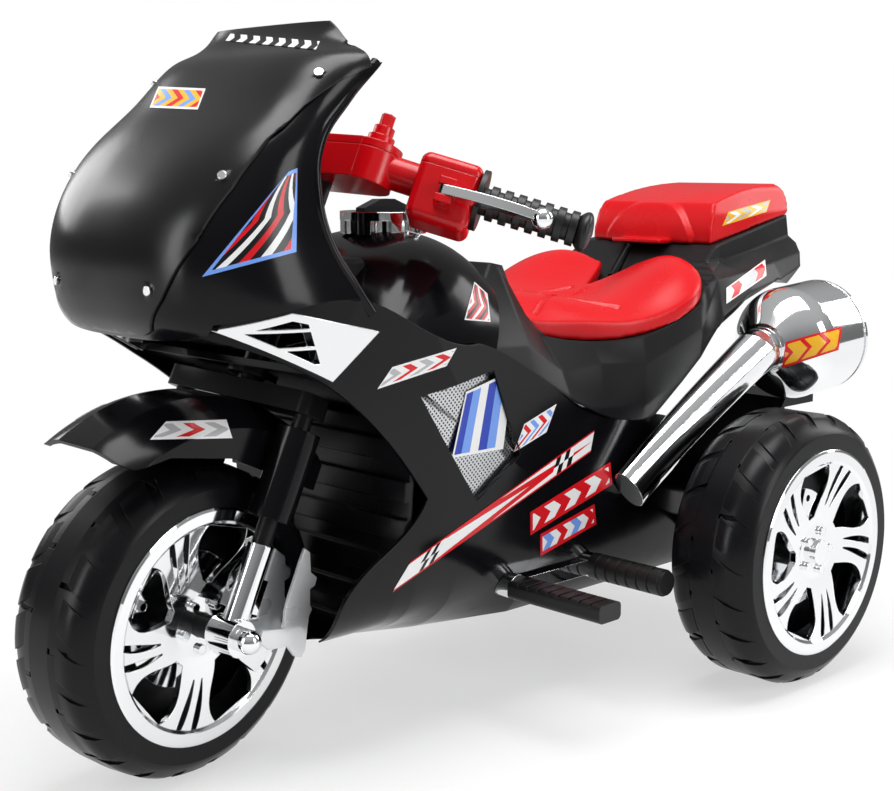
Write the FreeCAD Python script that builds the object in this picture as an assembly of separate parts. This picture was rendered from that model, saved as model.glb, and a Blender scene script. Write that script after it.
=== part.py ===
import FreeCAD, Part
import math
import os

# Kids electric motorbike on three wheels, in millimetres.
# The front axle is at x = 0, +X points forward, +Y to the rider's left and +Z up.

# General
wall = 4.0
seam = 0.3
running_clearance = 0.05
swing_clearance = 0.4
overrun = 1500.0
parallel_share = 0.3

# Wheels
wheel_radius = 146.0
wheel_width = 104.0
rim_radius = 108.0
wheelbase = 620.0
axle_radius = 6.0
bush_wall = 4.0
hub_radius = 21.0
web_thickness = 10.0
tread_groove_width = 5.0
tread_groove_depth = 4.5
tread_groove_count = 16
tyre_flat_share = 0.24
tyre_side_share = 0.97
tyre_shoulder_shares = [(1.000, 0.240), (0.985, 0.520), (0.945, 0.790), (0.870, 0.970)]

# Chrome hub caps
cap_depth = 30.0
cap_plate = 8.0
cap_lip = 2.5
cap_dish = 10.0
cap_rim_width = 10.0
cap_boss_radius = 30.0
cap_skirt = 3.0
petal_count = 5
petal_inner_radius = 40.0
petal_turn_degrees = 8.0
petal_half_degrees = 20.0
slot_half_degrees = 2.6
slot_apart_degrees = 5.6
slot_inner_radius = 50.0
petal_width_shares = [(0.00, 0.35), (0.30, 0.80), (0.65, 1.00), (1.00, 0.72)]
lug_radius = 4.5
lug_height = 4.0
lug_circle_radius = 22.0
dome_radius = 13.0
dome_height = 7.0
disc_radius = 64.0
disc_thickness = 2.5
disc_hole_radius = 3.5
disc_hole_count = 10
disc_hole_circle_radius = 54.0

# Fork and steering column
rake_degrees = 25.0
steer_rest_degrees = 8.0
steer_lock_degrees = 20.0
steer_lock_steps = 4
wheel_arch_gap = 4.0
fork_gap = 16.0
leg_radius = 12.0
leg_length = 84.0
leg_plug = 36.0
stanchion_radius = 9.0
axle_boss_radius = 17.0
axle_boss_length = 30.0
cap_nut_radius = 11.0
cap_nut_length = 9.0
spacer_radius = 11.0
crown_thickness = 20.0
crown_depth = 36.0
crown_gap = 5.0
column_radius = 13.0
steer_bush_wall = 4.0
steer_bush_flange = 4.0
steer_bush_flange_radius = 24.0
rib_thickness = 8.0
rib_reaches = [(95.0, 160.0), (38.0, 38.0)]
rib_pitch = 50.0
caliper_thickness = 8.0
caliper_height = 92.0
caliper_depth = 84.0
caliper_shares = [
    (0.12, 0.76), (0.36, 0.95), (0.74, 0.87), (0.98, 0.54), (1.00, 0.05), (0.79, -0.30), (0.48, -0.22),
    (0.17, 0.22),
]
caliper_arm_shares = [(0.30, 0.25), (0.00, 0.60)]

# Front fender
fender_gap = 56.0
fender_wall = 4.0
fender_side_gap = 8.0
fender_drop = 22.0
fender_skirt_shares = [(0.764, 0.512), (0.591, 0.624), (0.254, 0.717), (-0.300, 0.720)]
boot_radius = 20.0
boot_length = 84.0
boot_gap = 24.0
fender_crown_shares = [(0.00, 1.00), (0.35, 0.86), (1.00, 0.35)]

# Handlebar, grips and levers
bar_height = 452.0
bar_block_depth = 50.0
bar_block_height = 40.0
bar_neck_radius = 16.0
bar_round = 9.0
bar_reach = 148.0
bar_set_back = 57.0
bar_drop = 2.0
bar_split = 12.0
bar_sweep_degrees = 34.0
housing_length = 60.0
housing_width = 50.0
housing_height = 66.0
clamp_radius = 24.0
bolt_spread = 60.0
bolt_height = 32.0
bolt_step_radii = [13.0, 10.0, 7.0]
bolt_step_shares = [0.30, 0.30, 0.40]
grip_radius = 13.0
grip_length = 112.0
grip_rib_count = 7
grip_rib_height = 3.5
grip_flange_radius = 29.0
grip_flange_width = 5.0
grip_bulb_radius = 19.0
grip_bulb_length = 16.0
stub_radius = 8.0
lever_thickness = 9.0
lever_width = 16.0
lever_length = 92.0
lever_reach = 8.0
lever_drop = 12.0
lever_gap = 3.5
lever_ball_radius = 10.0
lever_pin_radius = 3.0
lever_ear = 7.0
lever_root_share = 0.45
lever_tip_share = 0.55
housing_low_share = 0.60
grip_rib_gap_share = 0.40
grip_bulb_share = 0.45

# Body shell, two halves
body_front = 30.0
body_tail = 34.0
body_drop = 54.0
body_height = 345.0
body_half_width = 160.0
rear_wheel_gap = 36.0
# Side outline: share of the length behind the front, share of the height above the floor
nose_seat_shares = [(0.000, 0.962), (0.094, 0.997), (0.208, 0.997), (0.263, 0.951), (0.418, 0.855)]
tub_seat_shares = [(0.418, 0.855), (0.569, 0.713), (0.681, 0.597), (0.803, 0.559)]
rear_shares = [(0.803, 0.559), (0.921, 0.500), (1.000, 0.313)]
chin_shares = [(0.227, 0.000), (0.192, 0.055), (0.189, 0.203), (0.279, 0.342), (0.329, 0.446)]
arch_shares = [(0.329, 0.446), (0.260, 0.603), (0.145, 0.791), (0.000, 0.928)]
rear_foot_shares = [(1.000, 0.040), (0.985, 0.000)]
# Front outline: share of the half width, share of the height
flank_shares = [(0.710, 0.110), (0.860, 0.400), (0.950, 0.760), (1.000, 1.080)]
# Keel: share of the length, share of the half width at the floor and a little above it
keel_rise_share = 0.045
keel_shares = [
    (-0.100, 0.100, 0.420), (0.282, 0.100, 0.420), (0.317, 0.200, 0.480), (0.399, 0.360, 0.560),
    (0.560, 0.560, 0.640), (1.100, 0.560, 0.640),
]
# Plan outline: share of the length, share of the half width
plan_shares = [
    (0.000, 0.560), (0.094, 0.905), (0.160, 0.975), (0.240, 1.000), (0.418, 0.920), (0.803, 0.820),
    (1.000, 0.720),
]
recess_shares = [(0.300, 0.735), (0.448, 0.775), (0.509, 0.520), (0.427, 0.405)]
recess_depth = 9.0
recess_wall = 3.0
mesh_thickness = 2.0
mesh_hole_radius = 3.4
mesh_hole_pitch = 12.0
mesh_edge_share = 0.55
vent_shares = [(0.012, 0.945), (0.094, 0.985), (0.222, 0.922), (0.146, 0.806)]
vent_frame = 7.0
vent_depth = 12.0
vent_louvre = 3.0
vent_louvre_count = 3
vent_split_share = 0.22
liner_gap = 24.0
liner_wall = 5.0
liner_top_share = 0.655
liner_rib_count = 6
liner_rib_depth = 5.0
liner_rib_share = 0.45

# Nose fairing and windscreen
nose_wall = 4.0
screen_wall = 2.5
screen_gap = 0.7
nose_height = 255.0
nose_x = 0.0
nose_steps = 24
nose_depth_share = 0.6
nose_round_share = 0.64
# Height, front and rear places as shares of the nose height, half width as a share of the body's
nose_shares = [
    (-0.180, 0.120, -0.450, 0.920),
    (-0.130, 0.165, -0.450, 0.960),
    (-0.050, 0.228, -0.440, 0.995),
    (0.050, 0.240, -0.375, 0.985),
    (0.205, 0.232, -0.285, 0.940),
    (0.365, 0.165, -0.250, 0.912),
    (0.520, 0.030, -0.275, 0.882),
    (0.680, -0.165, -0.415, 0.845),
    (0.835, -0.335, -0.590, 0.815),
    (1.030, -0.530, -0.720, 0.700),
]
nose_top_shares = [(-0.165, 0.650), (-0.400, 0.785), (-0.640, 0.815)]
nose_chin_shares = [(0.300, -0.170), (0.180, -0.122), (0.106, -0.078)]
# Screen: its lower outline seen from the front, and the lower edge of its upper part seen from the side
screen_shares = [
    (0.000, -0.105), (0.330, -0.098), (0.401, -0.083), (0.464, -0.026), (0.530, 0.025), (0.716, 0.218),
    (0.794, 0.384), (0.812, 0.498), (0.806, 0.560), (0.000, 0.560),
]
screen_side_shares = [(0.300, 0.300), (-0.153, 0.585), (-0.243, 0.655), (-0.369, 0.735), (-0.505, 0.788)]
screw_radius = 4.0
screw_gap = 0.3
screw_length = 9.0
screw_head = 2.5
screw_shank_share = 0.5
screw_shares = [(0.460, 0.057), (0.740, 0.424), (0.780, 0.760)]

# Tank, dash block and fuel cap
tank_shares = [
    (0.258, 0.945, 0.20), (0.330, 0.930, 0.62), (0.400, 0.915, 0.86), (0.455, 0.890, 0.90),
    (0.520, 0.850, 0.74),
]
tank_height = 140.0
tank_edge = 2.0
column_gap = 3.0
tank_low_share = 0.66
tank_base_share = 0.86
tank_rear_share = 0.75
tank_cross_shares = [(1.00, -1.0), (0.985, 0.00), (0.93, 0.40), (0.70, 0.80), (0.00, 1.00)]
filler_ring_radius = 44.0
filler_ring_height = 22.0
filler_sink = 4.0
filler_scallop_share = 0.6
filler_scallop_radius = 10.0
filler_scallop_count = 8
filler_share = 0.432
filler_handle_length = 62.0
filler_handle_width = 13.0
filler_handle_height = 12.0
filler_handle_shares = [(-1.0, 0.0), (-1.0, 0.3), (-0.3, 1.0), (0.3, 1.0), (1.0, 0.3), (1.0, 0.0)]
dash_width = 116.0
dash_depth = 40.0
dash_height = 40.0
dash_rise = 26.0
dash_round = 8.0
dash_share = 0.292

# Tail tub, seat and storage lid
tub_length = 578.0
tub_half_width = 152.0
tub_height = 210.0
tub_front_share = 0.468
# Side outline of the tub: share of its length behind its front, share of its height above its lowest corner
horn_shares = [(0.000, 0.440), (0.040, 0.690), (0.085, 0.815), (0.108, 0.800), (0.140, 0.560), (0.190, 0.445)]
deck_shares = [(0.190, 0.445), (0.365, 0.420), (0.530, 0.560), (0.610, 0.680), (0.690, 0.830)]
box_top_shares = [(0.690, 0.830), (0.970, 0.980), (0.982, 0.820), (0.896, 0.600)]
tub_belly_shares = [(0.896, 0.600), (0.813, 0.640), (0.588, 0.420), (0.536, 0.286), (0.400, 0.000)]
# Cross sections of the tub: share of its length, then shares of its half width and height from low to high
tub_section_shares = [
    (-0.026, [(0.920, -0.070), (0.934, 0.262), (0.842, 0.452), (0.395, 0.881), (0.330, 1.690)]),
    (0.099, [(0.920, -0.070), (0.940, 0.167), (0.820, 0.430), (0.530, 0.800), (0.420, 1.690)]),
    (0.180, [(0.920, -0.070), (0.947, 0.120), (0.842, 0.286), (0.645, 0.448), (0.560, 1.690)]),
    (0.260, [(0.920, -0.070), (0.967, 0.095), (0.920, 0.310), (0.790, 0.440), (0.720, 1.690)]),
    (0.369, [(0.934, -0.120), (0.980, 0.070), (0.987, 0.286), (0.945, 0.430), (0.920, 1.690)]),
    (0.531, [(0.920, -0.170), (0.987, 0.214), (1.000, 0.430), (0.993, 0.571), (0.960, 1.690)]),
    (0.606, [(0.855, 0.214), (0.980, 0.476), (0.920, 0.667), (0.720, 0.740), (0.660, 1.690)]),
    (0.709, [(0.790, 0.450), (0.954, 0.595), (0.868, 0.690), (0.645, 0.738), (0.605, 1.690)]),
    (0.830, [(0.757, 0.500), (0.908, 0.643), (0.822, 0.729), (0.618, 0.786), (0.592, 1.690)]),
    (1.020, [(0.660, 0.550), (0.737, 0.738), (0.697, 0.786), (0.566, 0.880), (0.540, 1.690)]),
]
bin_front_share = 0.705
bin_rear_share = 0.950
bin_half_width = 84.0
bin_floor_share = 0.665
# Seat sections: place along the tub, half width, lobe crest, middle crest and deck height
seat_shares = [
    (0.150, 0.50, 0.10, 0.20, 0.52), (0.200, 0.62, 0.35, 0.55, 0.44), (0.260, 0.72, 0.45, 0.55, 0.43),
    (0.340, 0.86, 0.42, 0.40, 0.42), (0.430, 0.96, 0.42, 0.22, 0.455), (0.510, 0.985, 0.46, 0.10, 0.535),
    (0.560, 0.90, 0.40, 0.00, 0.60), (0.600, 0.70, 0.15, -0.10, 0.66),
]
seat_height = 52.0
seat_edge = 16.0
seat_lobe_share = 0.58
seat_notch_length = 58.0
seat_notch_half_width = 26.0
lid_height = 40.0
lid_half_width = 90.0
lid_front_share = 0.700
lid_rear_share = 0.972
lid_side_shares = [
    (0.00, -0.20), (0.02, 0.75), (0.08, 1.15), (0.45, 1.20), (0.94, 1.00), (1.00, 0.80),
    (0.98, -0.20),
]
lid_cross_shares = [(1.00, -0.20), (0.97, 0.50), (0.88, 0.90), (0.70, 1.12)]
latch_width = 70.0
latch_length = 16.0
latch_thickness = 4.0
hinge_pin_radius = 3.0
hinge_wall = 4.0
hinge_width = 90.0
hinge_lug_width = 14.0

# Exhausts
muffler_radius = 64.0
muffler_length = 58.0
muffler_side = 184.0
muffler_front = 655.0
muffler_rise = 202.0
muffler_tilt_degrees = 4.0
muffler_ring_length = 12.0
muffler_ring_radius = 25.0
muffler_cone_length = 48.0
muffler_cone_shares = [(0.00, 0.46), (0.30, 0.72), (0.65, 0.93), (1.00, 1.00)]
muffler_cap_length = 24.0
muffler_cap_radius = 46.0
pipe_wide = 25.0
pipe_thin = 15.0
pipe_low_share = 0.742
pipe_low_height = 66.0
pipe_side = 150.0
pipe_path_shares = [(0.00, 0.00), (0.35, 0.25), (0.70, 0.62), (1.00, 1.00)]
bracket_thickness = 6.0
bracket_height = 26.0

# Footrests and pedal
peg_share = 0.522
rear_peg_share = 0.695
peg_rise = 14.0
peg_length = 120.0
peg_width = 32.0
peg_height = 18.0
peg_groove = 3.0
peg_groove_count = 8
rear_peg_radius = 14.0
rear_peg_length = 96.0
rear_peg_ring_count = 7
step_arm_height = 26.0
step_arm_thickness = 10.0
step_web_share = 0.6
step_side_share = 0.76
peg_round = 5.0
pedal_pin_radius = 4.0

# Drive and electrics
gearbox_radius = 28.0
gearbox_width = 46.0
gearbox_reach = 70.0
gearbox_side = 14.0
motor_radius = 19.0
motor_length = 56.0
sleeve_wall = 5.0
axle_side_share = 0.73
axle_bush_length = 16.0
battery_length = 98.0
battery_width = 66.0
battery_height = 94.0
hatch_margin = 12.0
hatch_share = 0.605
control_length = 70.0
control_width = 52.0
control_height = 24.0
control_share = 0.420
switch_length = 30.0
switch_height = 22.0
switch_depth = 22.0
switch_share = 0.560
switch_height_share = 0.560
rocker_throw = 2.5
rocker_dip_share = 0.3
rocker_back_share = 0.35
rocker_pin_radius = 2.0
rocker_pin_in = 7.0
rocker_gap = 2.2
socket_radius = 8.0
socket_bore_radius = 2.75
socket_length = 20.0
socket_bore_length = 14.0
socket_share = 0.640
socket_height_share = 0.420

# Places worked out from the sizes above
body_length = body_front + wheelbase + body_tail
floor_z = wheel_radius - body_drop
top_z = floor_z + body_height
rear_wheel_y = body_half_width + rear_wheel_gap + wheel_width / 2
tyre_side = wheel_width / 2 * tyre_side_share
cap_face = tyre_side + cap_lip
cap_back = tyre_side - cap_depth
hub_half = cap_face - cap_dish - cap_plate
hub_bore_radius = axle_radius + running_clearance
leg_y = wheel_width / 2 + fork_gap + leg_radius
fender_radius = wheel_radius + fender_gap + fender_wall
fender_half_width = wheel_width / 2 + fender_side_gap + fender_wall
crown_low = fender_radius + seam
rib_low = crown_low + crown_thickness + crown_gap + steer_bush_flange
rib_levels = [rib_low, rib_low + rib_pitch]
bush_bore_radius = column_radius + running_clearance
steer_bush_radius = column_radius + steer_bush_wall
lever_root_y = -housing_length * lever_root_share
lever_root_x = housing_width / 2 + lever_width / 2 + lever_gap
ear_low = -lever_drop - lever_thickness / 2 - swing_clearance - lever_ear
ear_high = -lever_drop + lever_thickness / 2 + swing_clearance + lever_ear
sweep = math.radians(bar_sweep_degrees)


# Small helpers
def vec(x, y, z):
    return FreeCAD.Vector(x, y, z)


grip_start = vec(-bar_set_back, bar_reach, bar_height - bar_drop)
along_grip = vec(-math.sin(sweep), math.cos(sweep), 0)


def body_x(share):
    return body_front - share * body_length


def body_z(share):
    return floor_z + share * body_height


def tub_x(share):
    return body_x(tub_front_share) - share * tub_length


def tub_z(share):
    return tub_low_z + share * tub_height


# Places that follow from the body and the tub
tub_low_z = body_z(tub_seat_shares[-1][1])
bin_front = tub_x(bin_front_share)
bin_rear = tub_x(bin_rear_share)
bin_floor = tub_z(bin_floor_share)
lid_low = tub_z(box_top_shares[0][1])
lid_rise = tub_z(box_top_shares[1][1]) - lid_low
hinge_reach = hinge_pin_radius + hinge_wall
hinge_x = tub_x(box_top_shares[1][0]) - hinge_reach - seam
hinge_z = tub_z(box_top_shares[1][1]) - hinge_pin_radius
knuckle_half = hinge_width / 2 - hinge_lug_width - swing_clearance
muffler_z = wheel_radius + muffler_rise
peg_x = body_x(peg_share)
rear_peg_x = body_x(rear_peg_share)
peg_z = wheel_radius - peg_rise
step_side = body_half_width * step_side_share
step_face = step_side + step_arm_thickness
axle_wall_y = body_half_width * axle_side_share
axle_bush_radius = axle_radius + bush_wall
sleeve_radius = axle_radius + running_clearance + sleeve_wall
drive_bore_radius = sleeve_radius + running_clearance
drive_bush_radius = drive_bore_radius + bush_wall
hatch_x = body_x(hatch_share)
hatch_length = battery_length + 2 * hatch_margin
hatch_width = battery_width + 2 * hatch_margin
switch_x = body_x(switch_share)
switch_z = body_z(switch_height_share)
socket_x = body_x(socket_share)
socket_z = body_z(socket_height_share)


def edges_through(stretches, place):
    edges = []
    for stretch in stretches:
        points = [place(*point) for point in stretch]
        if len(points) == 2:
            edges.append(Part.makeLine(points[0], points[1]))
        else:
            curve = Part.BSplineCurve()
            curve.interpolate(points)
            edges.append(curve.toShape())
    return edges


def flat_face(stretches, place):
    return Part.Face(Part.Wire(edges_through(stretches, place)))


def polygon_stretches(points):
    return [[points[i - 1], points[i]] for i in range(len(points))]


def straight_runs(points):
    return [[points[i], points[i + 1]] for i in range(len(points) - 1)]


def side_prism(stretches, low_y, high_y):
    face = flat_face(stretches, lambda x, z: vec(x, low_y, z))
    return face.extrude(vec(0, high_y - low_y, 0))


def mirrored_outline(half):
    other = [(-a, b) for a, b in reversed(half)]
    return [half, [half[-1], other[0]], other, [other[-1], half[0]]]


def plan_prism(half, low_z, high_z):
    outline = mirrored_outline([(y, x) for x, y in half])
    face = flat_face(outline, lambda y, x: vec(x, y, low_z))
    return face.extrude(vec(0, 0, high_z - low_z))


def common(first, *others):
    result = first
    for other in others:
        result = result.common(other)
    return result


def fuse_all(shapes):
    result = shapes[0]
    for shape in shapes[1:]:
        result = result.fuse(shape)
    return result.removeSplitter()


def cut_all(shape, tools):
    result = shape
    for tool in tools:
        result = result.cut(tool)
    return result


def edges_along(shape, direction):
    def tangent(edge):
        return edge.tangentAt(edge.FirstParameter)
    return [edge for edge in shape.Edges if tangent(edge).cross(direction).Length < parallel_share]


def mirrored(shape):
    return shape.mirror(vec(0, 0, 0), vec(0, 1, 0))


def tube_y(radius, low_y, high_y, x=0.0, z=0.0):
    return Part.makeCylinder(radius, high_y - low_y, vec(x, low_y, z), vec(0, 1, 0))


def tube_z(radius, low_z, high_z, x=0.0, y=0.0):
    return Part.makeCylinder(radius, high_z - low_z, vec(x, y, low_z), vec(0, 0, 1))


def box(low, high):
    return Part.makeBox(high[0] - low[0], high[1] - low[1], high[2] - low[2], vec(*low))


def revolved(profile):
    face = flat_face(profile, lambda r, y: vec(r, y, 0))
    return face.revolve(vec(0, 0, 0), vec(0, 1, 0), 360)


def turned(shape, degrees):
    copy = shape.copy()
    copy.rotate(vec(0, 0, 0), vec(0, 1, 0), degrees)
    return copy


# Steering parts are drawn upright around the front axle, then leaned back and turned
def raked(shape):
    copy = shape.copy()
    copy.rotate(vec(0, 0, 0), vec(0, 1, 0), -rake_degrees)
    copy.translate(vec(0, 0, wheel_radius))
    return copy


def steered(shape):
    copy = shape.copy()
    copy.rotate(vec(0, 0, 0), vec(0, 0, 1), steer_rest_degrees)
    return raked(copy)


# Wheels
def make_tyre():
    half = wheel_width / 2
    crown = [(wheel_radius * r, half * y) for r, y in tyre_shoulder_shares]
    mirror = [(r, -y) for r, y in reversed(crown)]
    web = web_thickness / 2
    corners = [
        crown[-1], (rim_radius, tyre_side), (rim_radius, web), (hub_radius, web), (hub_radius, hub_half),
        (hub_bore_radius, hub_half), (hub_bore_radius, -hub_half), (hub_radius, -hub_half),
        (hub_radius, -web),
        (rim_radius, -web), (rim_radius, -tyre_side), mirror[0],
    ]
    tyre = revolved([crown] + straight_runs(corners) + [mirror, [mirror[-1], crown[0]]])
    groove_low = half * tyre_flat_share
    groove = box(
        (wheel_radius - tread_groove_depth, groove_low, -tread_groove_width / 2),
        (wheel_radius + overrun, half + overrun, tread_groove_width / 2),
    )
    step = 360.0 / tread_groove_count
    grooves = []
    for index in range(tread_groove_count):
        grooves.append(turned(groove, index * step))
        grooves.append(turned(mirrored(groove), (index + 0.5) * step))
    return tyre.cut(Part.makeCompound(grooves))


def polar_window(inner, outer, middle_degrees, half_degrees, turn_degrees, width_shares):
    left = []
    right = []
    for along, width in width_shares:
        radius = inner + along * (outer - inner)
        swept = middle_degrees + turn_degrees * along
        left_angle = math.radians(swept - half_degrees * width)
        right_angle = math.radians(swept + half_degrees * width)
        left.append((radius * math.cos(left_angle), radius * math.sin(left_angle)))
        right.append((radius * math.cos(right_angle), radius * math.sin(right_angle)))
    right.reverse()
    stretches = [left, [left[-1], right[0]], right, [right[-1], left[0]]]
    face = flat_face(stretches, lambda x, z: vec(x, -overrun, z))
    return face.extrude(vec(0, 2 * overrun, 0))


def make_hub_cap(centre_hole_radius):
    inner = rim_radius - cap_rim_width
    boss_face = cap_face - cap_dish
    profile = polygon_stretches([
        (0.0, hub_half), (cap_boss_radius, hub_half), (inner - cap_skirt, cap_face - cap_plate),
        (inner - cap_skirt, cap_back), (rim_radius, cap_back), (rim_radius, tyre_side),
        (rim_radius + cap_lip, tyre_side), (rim_radius + cap_lip, tyre_side + cap_lip / 2),
        (rim_radius, cap_face),
        (inner, cap_face), (inner - cap_skirt, cap_face - cap_lip), (cap_boss_radius, boss_face),
        (0.0, boss_face),
    ])
    cap = revolved(profile)
    step = 360.0 / petal_count
    windows = []
    lugs = []
    for index in range(petal_count):
        middle = index * step
        windows.append(polar_window(
            petal_inner_radius, inner - cap_skirt, middle, petal_half_degrees, petal_turn_degrees,
            petal_width_shares))
        for sign in (-1, 1):
            slot_middle = middle + step / 2 + sign * slot_apart_degrees
            windows.append(polar_window(
                slot_inner_radius, inner - cap_skirt, slot_middle, slot_half_degrees, petal_turn_degrees,
                petal_width_shares))
        angle = math.radians(middle + step / 2)
        lugs.append(tube_y(
            lug_radius, boss_face - cap_plate / 2, boss_face + lug_height,
            lug_circle_radius * math.cos(angle), lug_circle_radius * math.sin(angle)))
    cap = cap.cut(Part.makeCompound(windows))
    if centre_hole_radius > 0:
        cap = fuse_all([cap] + lugs)
        return cap.cut(tube_y(centre_hole_radius, -overrun, overrun))
    dome = tube_y(dome_radius, boss_face, boss_face + dome_height)
    return fuse_all([cap, dome] + lugs)


def make_brake_disc():
    disc = tube_y(disc_radius, cap_back - disc_thickness, cap_back)
    holes = [tube_y(hub_radius, -overrun, overrun)]
    step = 2 * math.pi / disc_hole_count
    for index in range(disc_hole_count):
        x = disc_hole_circle_radius * math.cos(index * step)
        z = disc_hole_circle_radius * math.sin(index * step)
        holes.append(tube_y(disc_hole_radius, -overrun, overrun, x, z))
    return cut_all(disc, holes)


# Fork, drawn upright around the front axle
def make_fork_leg():
    leg = tube_z(leg_radius, 0.0, leg_length, 0.0, leg_y)
    boss = tube_y(axle_boss_radius, leg_y - axle_boss_length / 2, leg_y + axle_boss_length / 2)
    bore = tube_z(stanchion_radius, leg_length - leg_plug, leg_length + overrun, 0.0, leg_y)
    return cut_all(leg.fuse(boss), [bore, tube_y(axle_radius, -overrun, overrun)])


def make_spacer():
    return tube_y(spacer_radius, hub_half + swing_clearance, leg_y - axle_boss_length / 2).cut(
        tube_y(axle_radius, -overrun, overrun))


def make_cap_nut():
    start = leg_y + axle_boss_length / 2
    nut = tube_y(cap_nut_radius, start, start + cap_nut_length)
    dome = Part.makeSphere(cap_nut_radius, vec(0, start + cap_nut_length, 0))
    below = tube_y(overrun, -overrun, start)
    hole = tube_y(axle_radius, -overrun, start + cap_nut_length / 2)
    return cut_all(fuse_all([nut, dome]), [below, hole])


def make_front_axle():
    reach = leg_y + axle_boss_length / 2 + cap_nut_length / 2
    return tube_y(axle_radius, -reach, reach)


def make_caliper():
    inner = wheel_width / 2 + cap_lip + swing_clearance * 2
    outline = polygon_stretches([(-caliper_depth * x, caliper_height * z) for x, z in caliper_shares])
    plate = side_prism(outline, inner, inner + caliper_thickness)
    (back, low), (ahead, high) = [(-caliper_depth * x, caliper_height * z) for x, z in caliper_arm_shares]
    arm = box((back, inner, low), (ahead, leg_y, high))
    leg = tube_z(leg_radius, -overrun, overrun, 0.0, leg_y)
    boss = tube_y(axle_boss_radius, leg_y - axle_boss_length / 2, leg_y + axle_boss_length / 2)
    return cut_all(plate.fuse(arm).removeSplitter(), [leg, boss])


def fender_profile(radius, half):
    low = rim_radius
    shoulder = [(radius - fender_drop * (1 - up), half * out) for up, out in fender_crown_shares]
    other = [(r, -y) for r, y in reversed(shoulder)]
    return [
        [(low, half), shoulder[0]], shoulder, [shoulder[-1], other[0]], other,
        [other[-1], (low, -half)], [(low, -half), (low, half)],
    ]


def make_fender():
    inside = revolved(fender_profile(fender_radius - fender_wall, fender_half_width - fender_wall))
    shell = revolved(fender_profile(fender_radius, fender_half_width)).cut(inside)
    skirt = [(fender_radius * x, fender_radius * z) for x, z in fender_skirt_shares]
    rear_x = skirt[-1][0]
    front_x, front_z = skirt[0]
    ahead = overrun / fender_radius
    corners = skirt + [
        (rear_x, overrun), (overrun, overrun),
        (front_x + front_x * ahead, front_z + front_z * ahead),
    ]
    arch = shell.common(side_prism(polygon_stretches(corners), -overrun, overrun))
    boot_low = leg_length + boot_gap
    pieces = [arch]
    tools = [inside]
    for sign in (-1, 1):
        pieces.append(tube_z(boot_radius, boot_low, boot_low + boot_length, 0.0, sign * leg_y))
        tools.append(tube_z(stanchion_radius, -overrun, overrun, 0.0, sign * leg_y))
    side = fender_half_width - fender_wall
    tools.append(box((-overrun, -side, -overrun), (overrun, side, rim_radius + seam)))
    return cut_all(fuse_all(pieces), tools)


def make_steering_fork():
    half = leg_y + stanchion_radius + wall
    high = crown_low + crown_thickness
    crown = box((-crown_depth / 2, -half, crown_low), (crown_depth / 2, half, high))
    pieces = [
        crown.makeFillet(stanchion_radius, edges_along(crown, vec(0, 0, 1))),
        tube_z(column_radius, crown_low, bar_height),
    ]
    for sign in (-1, 1):
        pieces.append(tube_z(stanchion_radius, leg_length - leg_plug, high, 0.0, sign * leg_y))
    return fuse_all(pieces)


def make_steer_bush(level, below):
    bush = tube_z(steer_bush_radius, level, level + rib_thickness)
    if below:
        flange = tube_z(steer_bush_flange_radius, level - steer_bush_flange, level)
    else:
        flange = tube_z(
            steer_bush_flange_radius, level + rib_thickness,
            level + rib_thickness + steer_bush_flange,
        )
    return bush.fuse(flange).removeSplitter().cut(tube_z(bush_bore_radius, -overrun, overrun))


# Handlebar, drawn upright; the left end is drawn and mirrored


# Takes a piece drawn from the origin along +Y with +X ahead and sets it at the left grip
def at_grip(shape):
    copy = shape.copy()
    copy.rotate(vec(0, 0, 0), vec(0, 0, 1), bar_sweep_degrees)
    copy.translate(grip_start)
    return copy


def make_bar_side():
    low = -housing_height * housing_low_share
    high = low + housing_height
    housing = box((-housing_width / 2, -housing_length, low), (housing_width / 2, 0.0, high))
    housing = housing.makeFillet(bar_round, housing.Edges)
    ears = box((0.0, lever_root_y - lever_width / 2, ear_low),
               (lever_root_x + lever_width / 2, lever_root_y + lever_width / 2, ear_high))
    slot = box((housing_width / 2, -housing_length, -lever_drop - lever_thickness / 2 - swing_clearance),
               (overrun, overrun, -lever_drop + lever_thickness / 2 + swing_clearance))
    pin_hole = tube_z(lever_pin_radius, ear_low - seam, ear_high + seam, lever_root_x, lever_root_y)
    side = at_grip(cut_all(housing.fuse(ears), [slot, pin_hole]))
    start = vec(0, bolt_spread, bar_height)
    reach = grip_start - along_grip * (housing_length / 2) - start
    neck = Part.makeCylinder(bar_neck_radius, reach.Length, start, reach)
    clamp = tube_z(
        clamp_radius, bar_height - bar_block_height / 2, bar_height + bar_block_height / 2, 0.0,
        bolt_spread,
    )
    return fuse_all([side, cut_all(neck, [at_grip(housing)]), clamp])


def make_bar():
    half_height = bar_block_height / 2
    block = box((-bar_block_depth / 2, -bolt_spread, bar_height - half_height),
                (bar_block_depth / 2, bolt_spread, bar_height + half_height))
    side = make_bar_side()
    return fuse_all([block, side, mirrored(side)]).cut(tube_z(column_radius, -overrun, bar_height))


def make_bar_halves():
    bar = make_bar()
    split = bar_height + bar_split
    upper = bar.common(box((-overrun, -overrun, split + seam / 2), (overrun, overrun, split + overrun)))
    lower = bar.common(box((-overrun, -overrun, -overrun), (overrun, overrun, split - seam / 2)))
    stub = at_grip(tube_y(stub_radius, -bar_round, grip_length - grip_bulb_length))
    lower = fuse_all([lower, stub, mirrored(stub)])
    return upper, lower


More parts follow.
